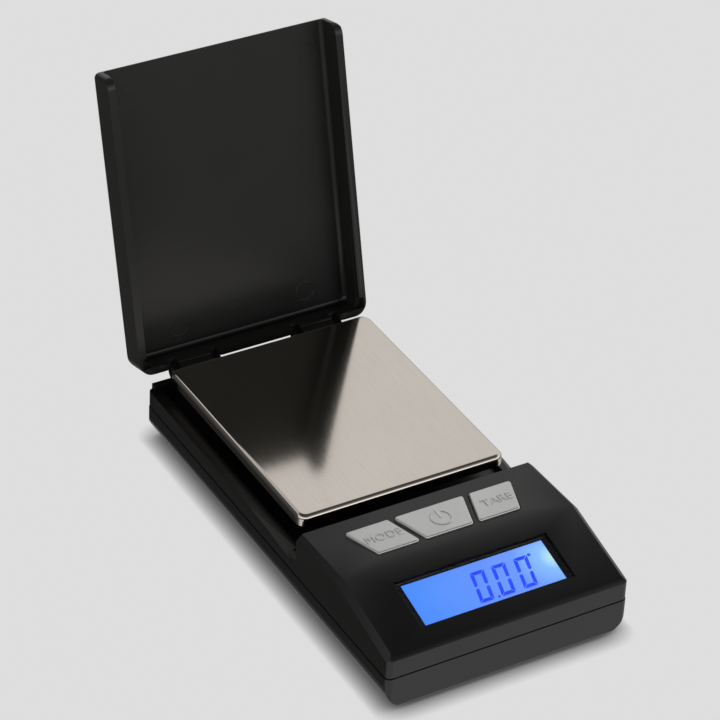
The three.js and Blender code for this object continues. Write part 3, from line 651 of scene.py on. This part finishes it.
def smooth_by_angle(thing, degrees=30):
    """Keeps the edges sharper than this as hard edges."""
    bm = bmesh.new()
    bm.from_mesh(thing.data)
    for edge in bm.edges:
        edge.smooth = not (len(edge.link_faces) == 2 and edge.calc_face_angle(0) > math.radians(degrees))
    bm.to_mesh(thing.data)
    bm.free()
    return thing


def plan(half, y, front_r, rear_r, steps=8):
    """A rectangle seen from above, about the centre line, with rounded corners."""
    return rounded(rectangle((-half, half), y), (front_r, front_r, rear_r, rear_r), steps)


def button_outline(name):
    front_left, front_right, rear_right, rear_left = BUTTON_XS[name]
    return [
        (front_left, BUTTON_Y[0]),
        (front_right, BUTTON_Y[0]),
        (rear_right, BUTTON_Y[1]),
        (rear_left, BUTTON_Y[1]),
    ]


def keel_end(half, low, radius):
    """The lower casing seen from the front: flat below with rounded corners, open above."""
    return rounded([(-half, low), (half, low), (half, FAR), (-half, FAR)], (radius, radius, 0, 0), 8)


def keel(half):
    """The outside of the lower casing, solid right through."""
    ends = (-OVERHANG, LENGTH + OVERHANG)
    top = PARTING_Z - PARTING_GAP / 2
    side = rounded(rectangle(ends, (FOOT_HEIGHT, FAR)), (KEEL_FRONT_R, KEEL_REAR_R, 0, 0))
    return common(
        along_z(plan(half, ends, FRONT_CORNER_R, REAR_CORNER_R), (0, top)),
        along_y(keel_end(half, FOOT_HEIGHT, KEEL_R), (-1, LENGTH + 1)),
        along_x(side, (-FAR, FAR)),
    )


def bottom_casing():
    half = HALF_WIDTH + OVERHANG
    shell = keel(half)
    hollow = common(
        wide_block(half - WALL, (WALL, LENGTH - WALL), (0, FAR)),
        along_y(keel_end(half - WALL, FLOOR_TOP, KEEL_INSIDE_R), (0, LENGTH)),
    )
    bay_y = (BAY["front"], BAY["rear"])
    wall = BAY["wall"]
    shell = fused(
        cut(shell, hollow),
        wide_block(BAY["half"] + wall, (bay_y[0] - wall, bay_y[1] + wall), (FOOT_HEIGHT, BAY["top"])),
    )
    shell = cut(
        shell,
        wide_block(BAY["half"], bay_y, (BAY["seat"], FAR)),
        wide_block(BAY["half"] - BAY_LIP, bay_y, (0, BAY["seat"] + 1)),
        wide_block(
            DOOR["half"] + FIT,
            (DOOR["front"] - FIT, DOOR["rear"] + FIT),
            (0, FOOT_HEIGHT + DOOR["thickness"] + FIT),
        ),
    )
    shell = fused(
        shell,
        wide_block(CELL_PAD["half"], CELL_PAD["y"], (FOOT_HEIGHT, CELL_PAD["top"])),
        post(0, STOP_Y, STOP_PAD_R, (FOOT_HEIGHT, FLOOR_TOP + 0.5)),
        *(post(x, y, FLOOR_PAD_R, (FOOT_HEIGHT, FLOOR_TOP + FLOOR_PAD)) for x, y in CASE_SCREWS),
    )
    wells = [*CASE_SCREWS, *((0, y) for y in CELL_SCREW_YS)]
    shell = cut(
        common(shell, keel(half)),
        *(post(x, y, COUNTERBORE_R, (0, FOOT_HEIGHT + COUNTERBORE_DEPTH)) for x, y in wells),
        *(post(x, y, SCREW_HOLE_R, (-1, 5)) for x, y in wells),
        *(post(x, y, FOOT_HOLE_R, (0, FOOT_HEIGHT + FOOT_RECESS)) for x, y in FEET),
        post(0, STOP_Y, STOP_HOLE_R, (0, 5)),
    )
    return tidy(shell, SOFT_EDGES["bottom"])


def roof_chamfer(a, b):
    """A long bar whose upper edges are chamfered along the roof line from a to b."""
    rise = (b[1] - a[1]) / (b[0] - a[0])
    c = HOUSING_CHAMFER
    outline = [
        (-HALF_WIDTH - 2, -FAR),
        (HALF_WIDTH + 2, -FAR),
        (HALF_WIDTH + 2, -c - 2),
        (HALF_WIDTH - c - 2, 2),
        (-HALF_WIDTH + c + 2, 2),
        (-HALF_WIDTH - 2, -c - 2),
    ]
    return skin([[(x, y, a[1] + (y - a[0]) * rise + h) for x, h in outline] for y in (-20, 90)])


def housing():
    low = PARTING_Z + PARTING_GAP / 2
    side = [(0, low - 1), (HOUSING_REAR[0], low - 1), HOUSING_REAR, RIDGE, CREASE, (0, FRONT_FACE_TOP)]
    shape = common(
        along_x(side, (-HALF_WIDTH, HALF_WIDTH)),
        along_z(plan(HALF_WIDTH, (0, HOUSING_REAR[0]), FRONT_CORNER_R, 0.0), (low, FAR)),
        roof_chamfer(CREASE, RIDGE),
        roof_chamfer(RIDGE, HOUSING_REAR),
    )

    def on_ridge(a, b):
        near = abs(a.y - RIDGE[0]) < RIDGE_REACH and abs(b.y - RIDGE[0]) < RIDGE_REACH
        return near and abs(a.x - b.x) > 0.5 and min(a.z, b.z) > CREASE[1]

    return eased(shape, RIDGE_ROUND, 5, on_ridge)


def finger_ramp(side):
    """What is cut from the ledge beside the lid's front corner, with the dimple at its end."""
    edge = side * HALF_WIDTH
    out = side * (HALF_WIDTH + 1)
    start, end, width, drop = FINGER_RAMP.values()
    ramp = hull(
        [
            (edge, start, LEDGE_Z),
            (out, start, LEDGE_Z + 1),
            (edge - side * width, end, LEDGE_Z),
            (edge - side * width, end, LEDGE_Z + 1),
            (edge, end, LEDGE_Z - drop),
            (out, end, LEDGE_Z - drop - drop / width),
            (out, end, LEDGE_Z + 1),
        ]
    )
    dimple_z = (LEDGE_Z - DIMPLE["depth"], LEDGE_Z + 1)
    return fused(ramp, post(edge - side * DIMPLE["inset"], end, DIMPLE["radius"], dimple_z, 16))


def cheek(centre, side):
    """One of the two ears that hold a hinge pin, round about the pin from -60 to 90 degrees."""
    half = HINGE_WIDTH / 2
    steps = 14
    turns = [-math.pi / 3 + k * (5 * math.pi / 6) / steps for k in range(steps + 1)]
    arc = [(HINGE_Y + KNUCKLE_R * math.cos(t), HINGE_Z + KNUCKLE_R * math.sin(t)) for t in turns]
    root = LENGTH - CHEEK_DEPTH
    outline = [(root, PARTING_Z + 0.5), (LENGTH, PARTING_Z + 0.5), *arc, (root, REAR_WALL_TOP)]
    ends = sorted((centre + side * half, centre + side * (half - CHEEK)))
    return along_x(outline, ends)


def roof_inside(low):
    """The hollow under the display housing, from low up to a wall's thickness below the roof."""
    roof = WALL / math.cos(SLOPE)
    side = [
        (WALL, low),
        (HOUSING_REAR[0] - WALL, low),
        (HOUSING_REAR[0] - WALL, HOUSING_REAR[1] - WALL),
        (RIDGE[0] + WALL * math.tan(SLOPE / 2), RIDGE[1] - WALL),
        (WALL, CREASE[1] - (CREASE[0] - WALL) * math.tan(SLOPE) - roof),
    ]
    return along_x(side, (-HALF_WIDTH + WALL, HALF_WIDTH - WALL))


def case_post_top(y):
    return CASE_POST_TOPS["rear" if y > LENGTH / 2 else "front"]


def pin_holes():
    return [
        rod((x - PIN_HOLE_HALF, x + PIN_HOLE_HALF), HINGE_Y, HINGE_Z, PIN_HOLE_R)
        for x in (-HINGE_X, HINGE_X)
    ]


def top_casing():
    low = PARTING_Z + PARTING_GAP / 2
    outline = plan(HALF_WIDTH, (0, LENGTH), FRONT_CORNER_R, REAR_CORNER_R)
    rear_wall = common(
        wide_block(HALF_WIDTH - REAR_WALL_INSET, (LENGTH - REAR_WALL, LENGTH), (low, REAR_WALL_TOP)),
        along_z(outline, (0, FAR)),
    )
    cheeks = [cheek(x, side) for x in (-HINGE_X, HINGE_X) for side in (-1, 1)]
    shell = fused(along_z(outline, (low, LEDGE_Z)), rear_wall, housing(), *cheeks)
    shell = cut(
        shell,
        wide_block(HALF_WIDTH - LEDGE_WIDTH, (HOUSING_REAR[0], LENGTH - REAR_WALL), (DECK_TOP, LEDGE_Z + 1)),
        wide_block(HALF_WIDTH - WALL, (WALL, LENGTH - WALL), (0, DECK_TOP - DECK)),
        roof_inside(0),
    )
    shell = fused(
        shell,
        *(post(x, y, CASE_POST_R, (CASE_POST_LOW, case_post_top(y)), 24) for x, y in CASE_SCREWS),
        *(post(x, y, BOARD_POST_R, (15.3, 20.5), 24) for x, y in BOARD_POSTS),
    )
    holes = [
        along_z(rounded(grown(button_outline(name), HOLE_GAP), HOLE_CORNER_R, 6), (17, FAR))
        for name in BUTTON_XS
    ]
    shell = cut(
        shell,
        *holes,
        slope_block(WINDOW_HALF, WINDOW_SPAN, WINDOW_CUT),
        wide_block(CELL_HOLE["half"], CELL_HOLE["y"], (DECK_TOP - 3, DECK_TOP + 1)),
        *(post(x, y, CASE_POST_HOLE_R, (3, 10.4), 16) for x, y in CASE_SCREWS),
        *(post(x, y, BOARD_POST_HOLE_R, (15, 18.6), 16) for x, y in BOARD_POSTS),
        *pin_holes(),
        finger_ramp(-1),
        finger_ramp(1),
    )
    return tidy(shell, SOFT_EDGES["top"])


def knuckle(centre):
    """The lid's half of a hinge, with the nose that meets the rear wall when the lid is open."""
    half = HINGE_WIDTH / 2 - CHEEK - FIT
    span = (centre - half, centre + half)
    web = along_x(
        [
            (LID_Y[1] - LID_END, HINGE_Z),
            (HINGE_Y, HINGE_Z),
            (HINGE_Y + KNUCKLE_R * math.cos(0.4), HINGE_Z + KNUCKLE_R * math.sin(0.4)),
            (LID_Y[1] - 0.3, HINGE_Z + 4.4),
            (LID_Y[1] - LID_END, HINGE_Z + 4.4),
        ],
        span,
    )
    nose = block(span, (-STOP_REACH, 0), (-0.7, 0.7))
    nose.data.transform(Matrix.Translation((0, HINGE_Y, HINGE_Z)) @ Matrix.Rotation(OPEN_ANGLE, 4, "X"))
    return fused(rod(span, HINGE_Y, HINGE_Z, KNUCKLE_R), web, nose)


def wall_relief(side):
    """Thins the lid's side wall from within, where the casing's rear wall stands."""
    x = sorted((side * (HALF_WIDTH - LID_SIDE - 1), side * (HALF_WIDTH - REAR_WALL_INSET + FIT)))
    return block(x, (LENGTH - REAR_WALL - 0.5, LID_Y[1] - LID_END), (0, REAR_WALL_TOP + 0.3))


def front_scoop(side):
    """Rounds the lower front corner of the lid's side wall."""
    x = sorted((side * (HALF_WIDTH - 5), side * (HALF_WIDTH + 1)))
    y, z = LID_Y[0] + LID_SCOOP_R, LID_RIM + LID_SCOOP_R
    corner = block(x, (LID_Y[0] - 1, y), (LID_RIM - 1, z))
    return cut(corner, rod((x[0] - 1, x[1] + 1), y, z, LID_SCOOP_R, 48))


def lid_shell():
    shell = along_z(plan(HALF_WIDTH, LID_Y, LID_FRONT_R, LID_REAR_R), (LID_RIM, LID_TOP))
    eased(shell, LID_ROUND, 4, at_height(LID_TOP))
    inside_y = (LID_Y[0] - 3, LID_Y[1] - LID_END)
    hollow = along_z(plan(HALF_WIDTH - LID_SIDE, inside_y, 0.0, LID_INSIDE_REAR_R), (0, LID_CEILING))
    eased(hollow, LID_INSIDE_ROUND, 4, at_height(LID_CEILING))
    notches = []
    for x in (-HINGE_X, HINGE_X):
        for side in (-1, 1):
            outer = x + side * (HINGE_WIDTH / 2 + FIT)
            inner = x + side * (HINGE_WIDTH / 2 - CHEEK - FIT)
            notch_y = (LID_Y[1] - LID_END - 1, LID_Y[1] + 1)
            notches.append(block(sorted((outer, inner)), notch_y, (0, HINGE_Z + KNUCKLE_R + FIT)))
    for side in (-1, 1):
        notches += [wall_relief(side), front_scoop(side)]
    shell = cut(shell, hollow, *notches)
    shell = fused(shell, *(knuckle(x) for x in (-HINGE_X, HINGE_X)))
    shell = cut(shell, *pin_holes())
    return tidy(shell, SOFT_EDGES["lid"])


def mould_mark(x, y, radius):
    """A thin round ridge on the inside of the lid, hung from its ceiling."""
    profile = [(-0.16, -0.2), (-0.1, 0.05), (0.1, 0.05), (0.16, -0.2)]
    count = 40
    bm = bmesh.new()
    rings = [
        [bm.verts.new((px, py, LID_CEILING - depth)) for px, py in circle(x, y, radius + out, count)]
        for out, depth in profile
    ]
    for inner, outer in zip(rings, rings[1:] + rings[:1]):
        for i in range(count):
            j = (i + 1) % count
            bm.faces.new((inner[i], inner[j], outer[j], outer[i]))
    bmesh.ops.recalc_face_normals(bm, faces=bm.faces)
    return link("solid", bm)


def platform_pan():
    tray = along_z(plan(TRAY_HALF, TRAY_Y, TRAY_R, TRAY_R, 10), TRAY_Z)
    eased(tray, TRAY_ROLL, 8, at_height(TRAY_Z[1]))
    inside = along_z(
        plan(TRAY_HALF - SHEET, (TRAY_Y[0] + SHEET, TRAY_Y[1] - SHEET), TRAY_INSIDE_R, TRAY_INSIDE_R, 10),
        (0, TRAY_Z[1] - SHEET),
    )
    eased(inside, TRAY_ROLL - 0.4, 4, at_height(TRAY_Z[1] - SHEET))
    return tidy(cut(tray, inside), SOFT_EDGES["tray"], 2, 40)


def cap(name):
    rim = rounded(grown(button_outline(name), FLANGE_WIDTH), HOLE_CORNER_R, 6)
    flange = along_z(rim, (FLANGE_Z, FLANGE_Z + FLANGE_HEIGHT))
    top = along_z(rounded(button_outline(name), CAP_CORNER_R, 6), (FLANGE_Z, BUTTON_TOP))
    eased(top, CAP_ROUND, 4, at_height(BUTTON_TOP))
    return tidy(fused(flange, top))


def lettering(words, x, y, size):
    """Raised letters on a button, standing 0.22 mm proud of it."""
    curve = bpy.data.curves.new(words, "FONT")
    curve.body = words
    curve.size = size
    curve.align_x = "CENTER"
    curve.align_y = "CENTER"
    curve.extrude = 0.17
    curve.bevel_depth = 0.05
    curve.bevel_resolution = 2
    curve.offset = -0.05
    curve.space_character = 1.05
    text = bpy.data.objects.new(words, curve)
    bpy.context.scene.collection.objects.link(text)
    graph = bpy.context.evaluated_depsgraph_get()
    mesh = bpy.data.meshes.new_from_object(text.evaluated_get(graph))
    bpy.data.objects.remove(text)
    mesh.transform(Matrix.Translation((x, y, BUTTON_TOP)))
    thing = bpy.data.objects.new(words, mesh)
    bpy.context.scene.collection.objects.link(thing)
    return thing


def power_symbol(x, y, radius):
    """A raised ring, open at the top, with an upright bar in its opening."""
    bm = bmesh.new()
    half, crown = 0.26, 0.156
    root, shoulder, top = -0.3, 0.14, 0.2
    section = (
        (-half, root),
        (half, root),
        (half, shoulder),
        (crown, top),
        (-crown, top),
        (-half, shoulder),
    )
    gap = math.radians(28)
    count = 48

    def bar(centres, sides):
        """Sweeps the section along the centres, across the direction given for each."""
        rings = []
        for (cx, cy), (nx, ny) in zip(centres, sides):
            rings.append([bm.verts.new((cx + nx * u, cy + ny * u, BUTTON_TOP + h)) for u, h in section])
        bm.faces.new(rings[0])
        bm.faces.new(rings[-1])
        for a, b in zip(rings, rings[1:]):
            for i in range(len(section)):
                j = (i + 1) % len(section)
                bm.faces.new((a[i], a[j], b[j], b[i]))

    turns = [math.pi / 2 + gap + k * (2 * math.pi - 2 * gap) / count for k in range(count + 1)]
    bar(
        [(x + radius * math.cos(t), y + radius * math.sin(t)) for t in turns],
        [(math.cos(t), math.sin(t)) for t in turns],
    )
    bar([(x, y + 0.1), (x, y + radius + 0.5)], [(1, 0), (1, 0)])
    bmesh.ops.recalc_face_normals(bm, faces=bm.faces)
    return link("solid", bm)


def digit_zero(left, low, width, height, slant, thick=0.92):
    """The six outer bars of a seven-segment figure, as outlines in X and s."""
    middle = low + height / 2
    gap = 0.14
    nick = gap * 0.2
    centre = thick / 2
    inner_end, tip, outer_end = centre * 1.3, gap * 1.6, centre * 1.1

    def flat_bar(s, inwards):
        right = left + width
        inner_s = s + inwards * thick
        return [
            (left + gap, s),
            (right - gap, s),
            (right - thick - nick, inner_s),
            (left + thick + nick, inner_s),
        ]

    def upright_bar(x, inwards, s, down):
        """From its end at s to its pointed end at the middle of the figure."""
        inner_x = x + inwards * thick
        return [
            (x, s + down * gap),
            (inner_x, s + down * (thick + gap)),
            (inner_x, middle - down * inner_end),
            (x + inwards * centre, middle - down * tip),
            (x, middle - down * outer_end),
        ]

    bars = [flat_bar(low + height, -1), flat_bar(low, 1)]
    for x, inwards in ((left, 1), (left + width, -1)):
        bars += [upright_bar(x, inwards, low + height, -1), upright_bar(x, inwards, low, 1)]
    return [[(x + (s - low) * slant, s) for x, s in bar] for bar in bars]


def joined(things):
    """Several solids as the parts of one mesh."""
    bm = bmesh.new()
    for thing in things:
        bm.from_mesh(thing.data)
    for thing in things:
        bpy.data.objects.remove(thing)
    bmesh.ops.recalc_face_normals(bm, faces=bm.faces)
    return link("solid", bm)


def display_figures():
    outlines = []
    for left in FIGURE_LEFTS:
        outlines += digit_zero(left, **FIGURE)
    outlines.append(DECIMAL_POINT)
    return joined([on_slope_plate(outline, INK_DEPTHS) for outline in outlines])


def unit_mark():
    return on_slope_plate(circle(*UNIT_MARK, 20), INK_DEPTHS)


def window_mask():
    """The dark border printed round the display, just wider than its window."""
    spare = 0.05
    half = WINDOW_HALF + spare
    span = (WINDOW_SPAN[0] - spare, WINDOW_SPAN[1] + spare)
    outer = on_slope_plate(rectangle((-half, half), span), BORDER_DEPTHS)
    inner = on_slope_plate(rectangle((-VISIBLE_HALF, VISIBLE_HALF), VISIBLE_SPAN), (-2, -1))
    return cut(outer, inner)


def window_pane():
    span = (WINDOW_SPAN[0] + FIT, WINDOW_SPAN[1] - FIT)
    return tidy(slope_block(WINDOW_HALF - FIT, span, PANE_DEPTHS), SOFT_EDGES["pane"])


def door_plate():
    z = (FOOT_HEIGHT, FOOT_HEIGHT + DOOR["thickness"])
    plate = wide_block(DOOR["half"], (DOOR["front"], DOOR["rear"]), z)
    plug_y = (BAY["front"] + FIT, BAY["rear"] - FIT)
    plug = wide_block(BAY["half"] - BAY_LIP - FIT, plug_y, (z[0] + 0.2, z[1] + 0.4))
    half, inset, below, radius = DOOR_GRIP.values()
    grip = rod((-half, half), DOOR["front"] + inset, FOOT_HEIGHT - below, radius)
    return tidy(cut(fused(plate, plug), grip), SOFT_EDGES["door"])


# ---------------------------------------------------------------- assembly

CASING = casing_look()
STEEL = steel_look()
SILVER = button_look()
LCD = lcd_look()
INK = ink_look()
WINDOW = window_look()
MASK = plain_look("window_border", srgb(6, 6, 7), srgb(12, 12, 13), 0.4)

LID_TURN = (
    Matrix.Translation((0, HINGE_Y, HINGE_Z))
    @ Matrix.Rotation(-OPEN_ANGLE, 4, "X")
    @ Matrix.Translation((0, -HINGE_Y, -HINGE_Z))
)

show(bottom_casing(), "casing_bottom", "base", CASING, ["bottom_shell"])
show(top_casing(), "casing_top", "base", CASING, ["top_shell"])
show(lid_shell(), "lid_cover", "lid", CASING, ["lid"], LID_TURN)
mould_marks = joined([mould_mark(*mark) for mark in MOULD_MARKS])
show(mould_marks, "lid_mould_marks", "lid", CASING, (), LID_TURN)
show(platform_pan(), "platform_pan", "platform", STEEL, ["platform_tray"])
for button in BUTTON_XS:
    show(cap(button), button.replace("button", "cap"), button, SILVER, [button])
legends = {
    "mode": lettering("MODE", *MODE_AT, LEGEND_SIZE),
    "tare": lettering("TARE", *TARE_AT, LEGEND_SIZE),
    "power": power_symbol(*POWER_AT, POWER_RADIUS),
}
for key, legend in legends.items():
    show(smooth_by_angle(legend), f"{key}_legend", f"{key}_button", SILVER)
show(window_pane(), "window_pane", "base", WINDOW, ["display_window"])
show(window_mask(), "window_border", "base", MASK)
show(display_figures(), "display_figures", "base", INK)
show(unit_mark(), "display_unit_mark", "base", INK)
show(door_plate(), "battery_hatch", "battery_door", CASING, ["battery_door"])

PLAIN_STEEL = plain_look("plated_steel", srgb(150, 151, 153), srgb(188, 189, 191), 0.3, 1.0, 1500.0, 0.1)
NODE_LOOKS = {
    "lcd_glass": (LCD, "lcd"),
    "lcd_backlight": (plain_look("light_guide", srgb(215, 225, 240), srgb(236, 240, 248), 0.35), "diffuser"),
    "lcd_frame": (
        plain_look("white_plastic", srgb(205, 205, 200), srgb(228, 228, 223), 0.5),
        "white_plastic",
    ),
    "main_board": (board_look(), "board"),
    "controller_chip": (plain_look("epoxy", srgb(12, 12, 13), srgb(20, 20, 21), 0.3), "epoxy"),
    "lcd_ribbon": (plain_look("ribbon", srgb(150, 106, 44), srgb(186, 140, 66), 0.4, 0.2), "ribbon"),
    "load_cell": (plain_look("aluminium", srgb(172, 174, 176), srgb(204, 206, 208), 0.38, 1.0), "aluminium"),
    "strain_gauge_cover": (plain_look("silicone", srgb(222, 222, 214), srgb(240, 240, 234), 0.6), "silicone"),
    "foot": (plain_look("rubber", srgb(22, 22, 22), srgb(34, 34, 34), 0.8, 0.0, 1600.0, 0.5), "rubber"),
    "battery_front": (battery_look(), "battery"),
    "carrier": (CASING, "casing"),
    "steel": (PLAIN_STEEL, "steel"),
}


def look_of(node):
    """The look and slot of one of the CAD's own nodes. Screws, pins and contacts are steel."""
    if node in NODE_LOOKS:
        return NODE_LOOKS[node]
    if node.startswith("foot_"):
        return NODE_LOOKS["foot"]
    if node == "battery_rear":
        return NODE_LOOKS["battery_front"]
    if node == "platform_carrier":
        return NODE_LOOKS["carrier"]
    if node.endswith("_switch"):
        return NODE_LOOKS["controller_chip"]
    return NODE_LOOKS["steel"]


for node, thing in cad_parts.items():
    if thing.hide_render:
        continue
    look, slot = look_of(node)
    thing.data.materials.clear()
    thing.data.materials.append(look)

# ---------------------------------------------------------------- studio


# The floor is a wide shallow bowl, as pairs of radius and height in metres.
BOWL = ((1.4, 0.0), (2.2, 0.06), (2.9, 0.3), (3.4, 0.7), (3.8, 1.3), (4.0, 2.0))
FLOOR_TONE = srgb(222, 222, 222)
SHADE_TONE = (0.02, 0.02, 0.02)
SHADE_REACH = 0.0052
SHADE_POWER = 1.7

# The light by direction. A pair holds a direction's part along one axis, from -1 to 1, and the
# brightness there (or the share of the second light that is mixed in). The values were chosen so
# that the platform, lid and casing reflect what they do in the photo.
FRONT_LIGHT = (
    (-1, 0.8),
    (-0.45, 0.74),
    (-0.25, 0.14),
    (0.08, 0.16),
    (0.24, 1.4),
    (0.42, 1.4),
    (0.6, 0.46),
    (0.84, 0.08),
)
REAR_LIGHT = ((-1, 0.5), (-0.3, 0.4), (0.0, 0.6), (0.3, 0.78), (0.66, 0.78), (0.8, 0.08), (1, 0.03))
FRONT_TO_REAR = ((-0.35, 0.0), (0.25, 1.0))
LOW_TO_HIGH = ((-0.35, 0.0), (0.2, 1.0))
REAR_LEFT = (-0.65, 0.76, 0)
SHADE_LOW = ((0.45, 1.0), (0.68, 0.12))
SHADE_HIGH = ((0.72, 1.0), (0.86, 0.12))

# Where the photo was taken from: degrees, and metres in the row frame.
CAMERA_AZIMUTH, CAMERA_ELEVATION, CAMERA_ROLL = -31.43, 34.96, 2.88
CAMERA_PLACE = (-0.34161, -0.56189, 0.50098)
CAMERA_LENS = 167.6


def studio_floor():
    """A pale floor that gives its own light and darkens where it is close to the scale."""
    bm = bmesh.new()
    steps = 48
    rings = [
        [bm.verts.new((x, y, height)) for x, y in circle(0, 0, radius, steps)]
        for radius, height in BOWL
    ]
    bm.faces.new(rings[0])
    for inner, outer in zip(rings, rings[1:]):
        for i in range(steps):
            j = (i + 1) % steps
            bm.faces.new((inner[i], outer[i], outer[j], inner[j]))
    floor = link("floor", bm)
    paint = bpy.data.materials.new("pale_floor")
    nodes = Nodes(paint)
    nodes.tree.nodes.clear()
    out = nodes.node("ShaderNodeOutputMaterial")
    glow = nodes.node("ShaderNodeEmission")
    shade = nodes.node("ShaderNodeAmbientOcclusion", samples=16)
    shade.inputs["Distance"].default_value = SHADE_REACH
    curve = nodes.node("ShaderNodeMath", operation="POWER")
    curve.inputs[1].default_value = SHADE_POWER
    nodes.link(shade.outputs["AO"], curve.inputs[0])
    nodes.link(nodes.mixed(curve.outputs[0], SHADE_TONE, FLOOR_TONE), glow.inputs["Color"])
    nodes.link(glow.outputs[0], out.inputs["Surface"])
    floor.data.materials.append(paint)
    floor.visible_glossy = False


def studio_world():
    """Light that depends on its direction: front and rear by height, darker from the rear left."""
    world = bpy.data.worlds.new("studio")
    bpy.context.scene.world = world
    nodes = Nodes(world)
    nodes.tree.nodes.clear()
    out = nodes.node("ShaderNodeOutputWorld")
    background = nodes.node("ShaderNodeBackground")
    direction = nodes.node("ShaderNodeTexCoord").outputs["Generated"]
    axes = nodes.node("ShaderNodeSeparateXYZ")
    nodes.link(direction, axes.inputs[0])

    def ramp(source, stops):
        """Brightness by a value from -1 to 1."""
        scaled = nodes.node("ShaderNodeMapRange")
        scaled.inputs["From Min"].default_value = -1
        scaled.inputs["From Max"].default_value = 1
        nodes.link(source, scaled.inputs["Value"])
        made = nodes.node("ShaderNodeValToRGB")
        while len(made.color_ramp.elements) < len(stops):
            made.color_ramp.elements.new(0.5)
        for element, (value, level) in zip(made.color_ramp.elements, sorted(stops)):
            element.position = (value + 1) / 2
            element.color = (level, level, level, 1)
        nodes.link(scaled.outputs["Result"], made.inputs["Fac"])
        return made.outputs["Color"]

    height = axes.outputs["Z"]
    towards_rear = ramp(axes.outputs["Y"], FRONT_TO_REAR)
    level = nodes.mixed(towards_rear, ramp(height, FRONT_LIGHT), ramp(height, REAR_LIGHT))
    rear_left = nodes.node("ShaderNodeVectorMath", operation="DOT_PRODUCT")
    rear_left.inputs[1].default_value = REAR_LEFT
    nodes.link(direction, rear_left.inputs[0])
    side = nodes.mixed(
        ramp(height, LOW_TO_HIGH),
        ramp(rear_left.outputs["Value"], SHADE_LOW),
        ramp(rear_left.outputs["Value"], SHADE_HIGH),
    )
    nodes.link(nodes.mixed(1.0, level, side, "MULTIPLY"), background.inputs["Color"])
    nodes.link(background.outputs[0], out.inputs["Surface"])


def studio_camera():
    """Stands where the photo was taken from, fitted to the edges of the lid and housing."""
    azimuth, elevation, roll = (
        math.radians(angle) for angle in (CAMERA_AZIMUTH, CAMERA_ELEVATION, CAMERA_ROLL)
    )
    back = Vector(
        (
            math.sin(azimuth) * math.cos(elevation),
            -math.cos(azimuth) * math.cos(elevation),
            math.sin(elevation),
        )
    )
    right = Vector((0, 0, 1)).cross(back).normalized()
    up = back.cross(right)
    turned = (
        math.cos(roll) * right + math.sin(roll) * up,
        -math.sin(roll) * right + math.cos(roll) * up,
        back,
    )
    lens = bpy.data.cameras.new("camera")
    lens.lens = CAMERA_LENS
    lens.sensor_width = 36.0
    lens.clip_start = 0.05
    camera = bpy.data.objects.new("camera", lens)
    camera.matrix_world = Matrix.Translation(CAMERA_PLACE) @ Matrix(turned).transposed().to_4x4()
    bpy.context.scene.collection.objects.link(camera)
    bpy.context.scene.camera = camera


studio_floor()
studio_world()
studio_camera()
bpy.context.scene.view_settings.view_transform = "Standard"

bpy.context.view_layer.update()
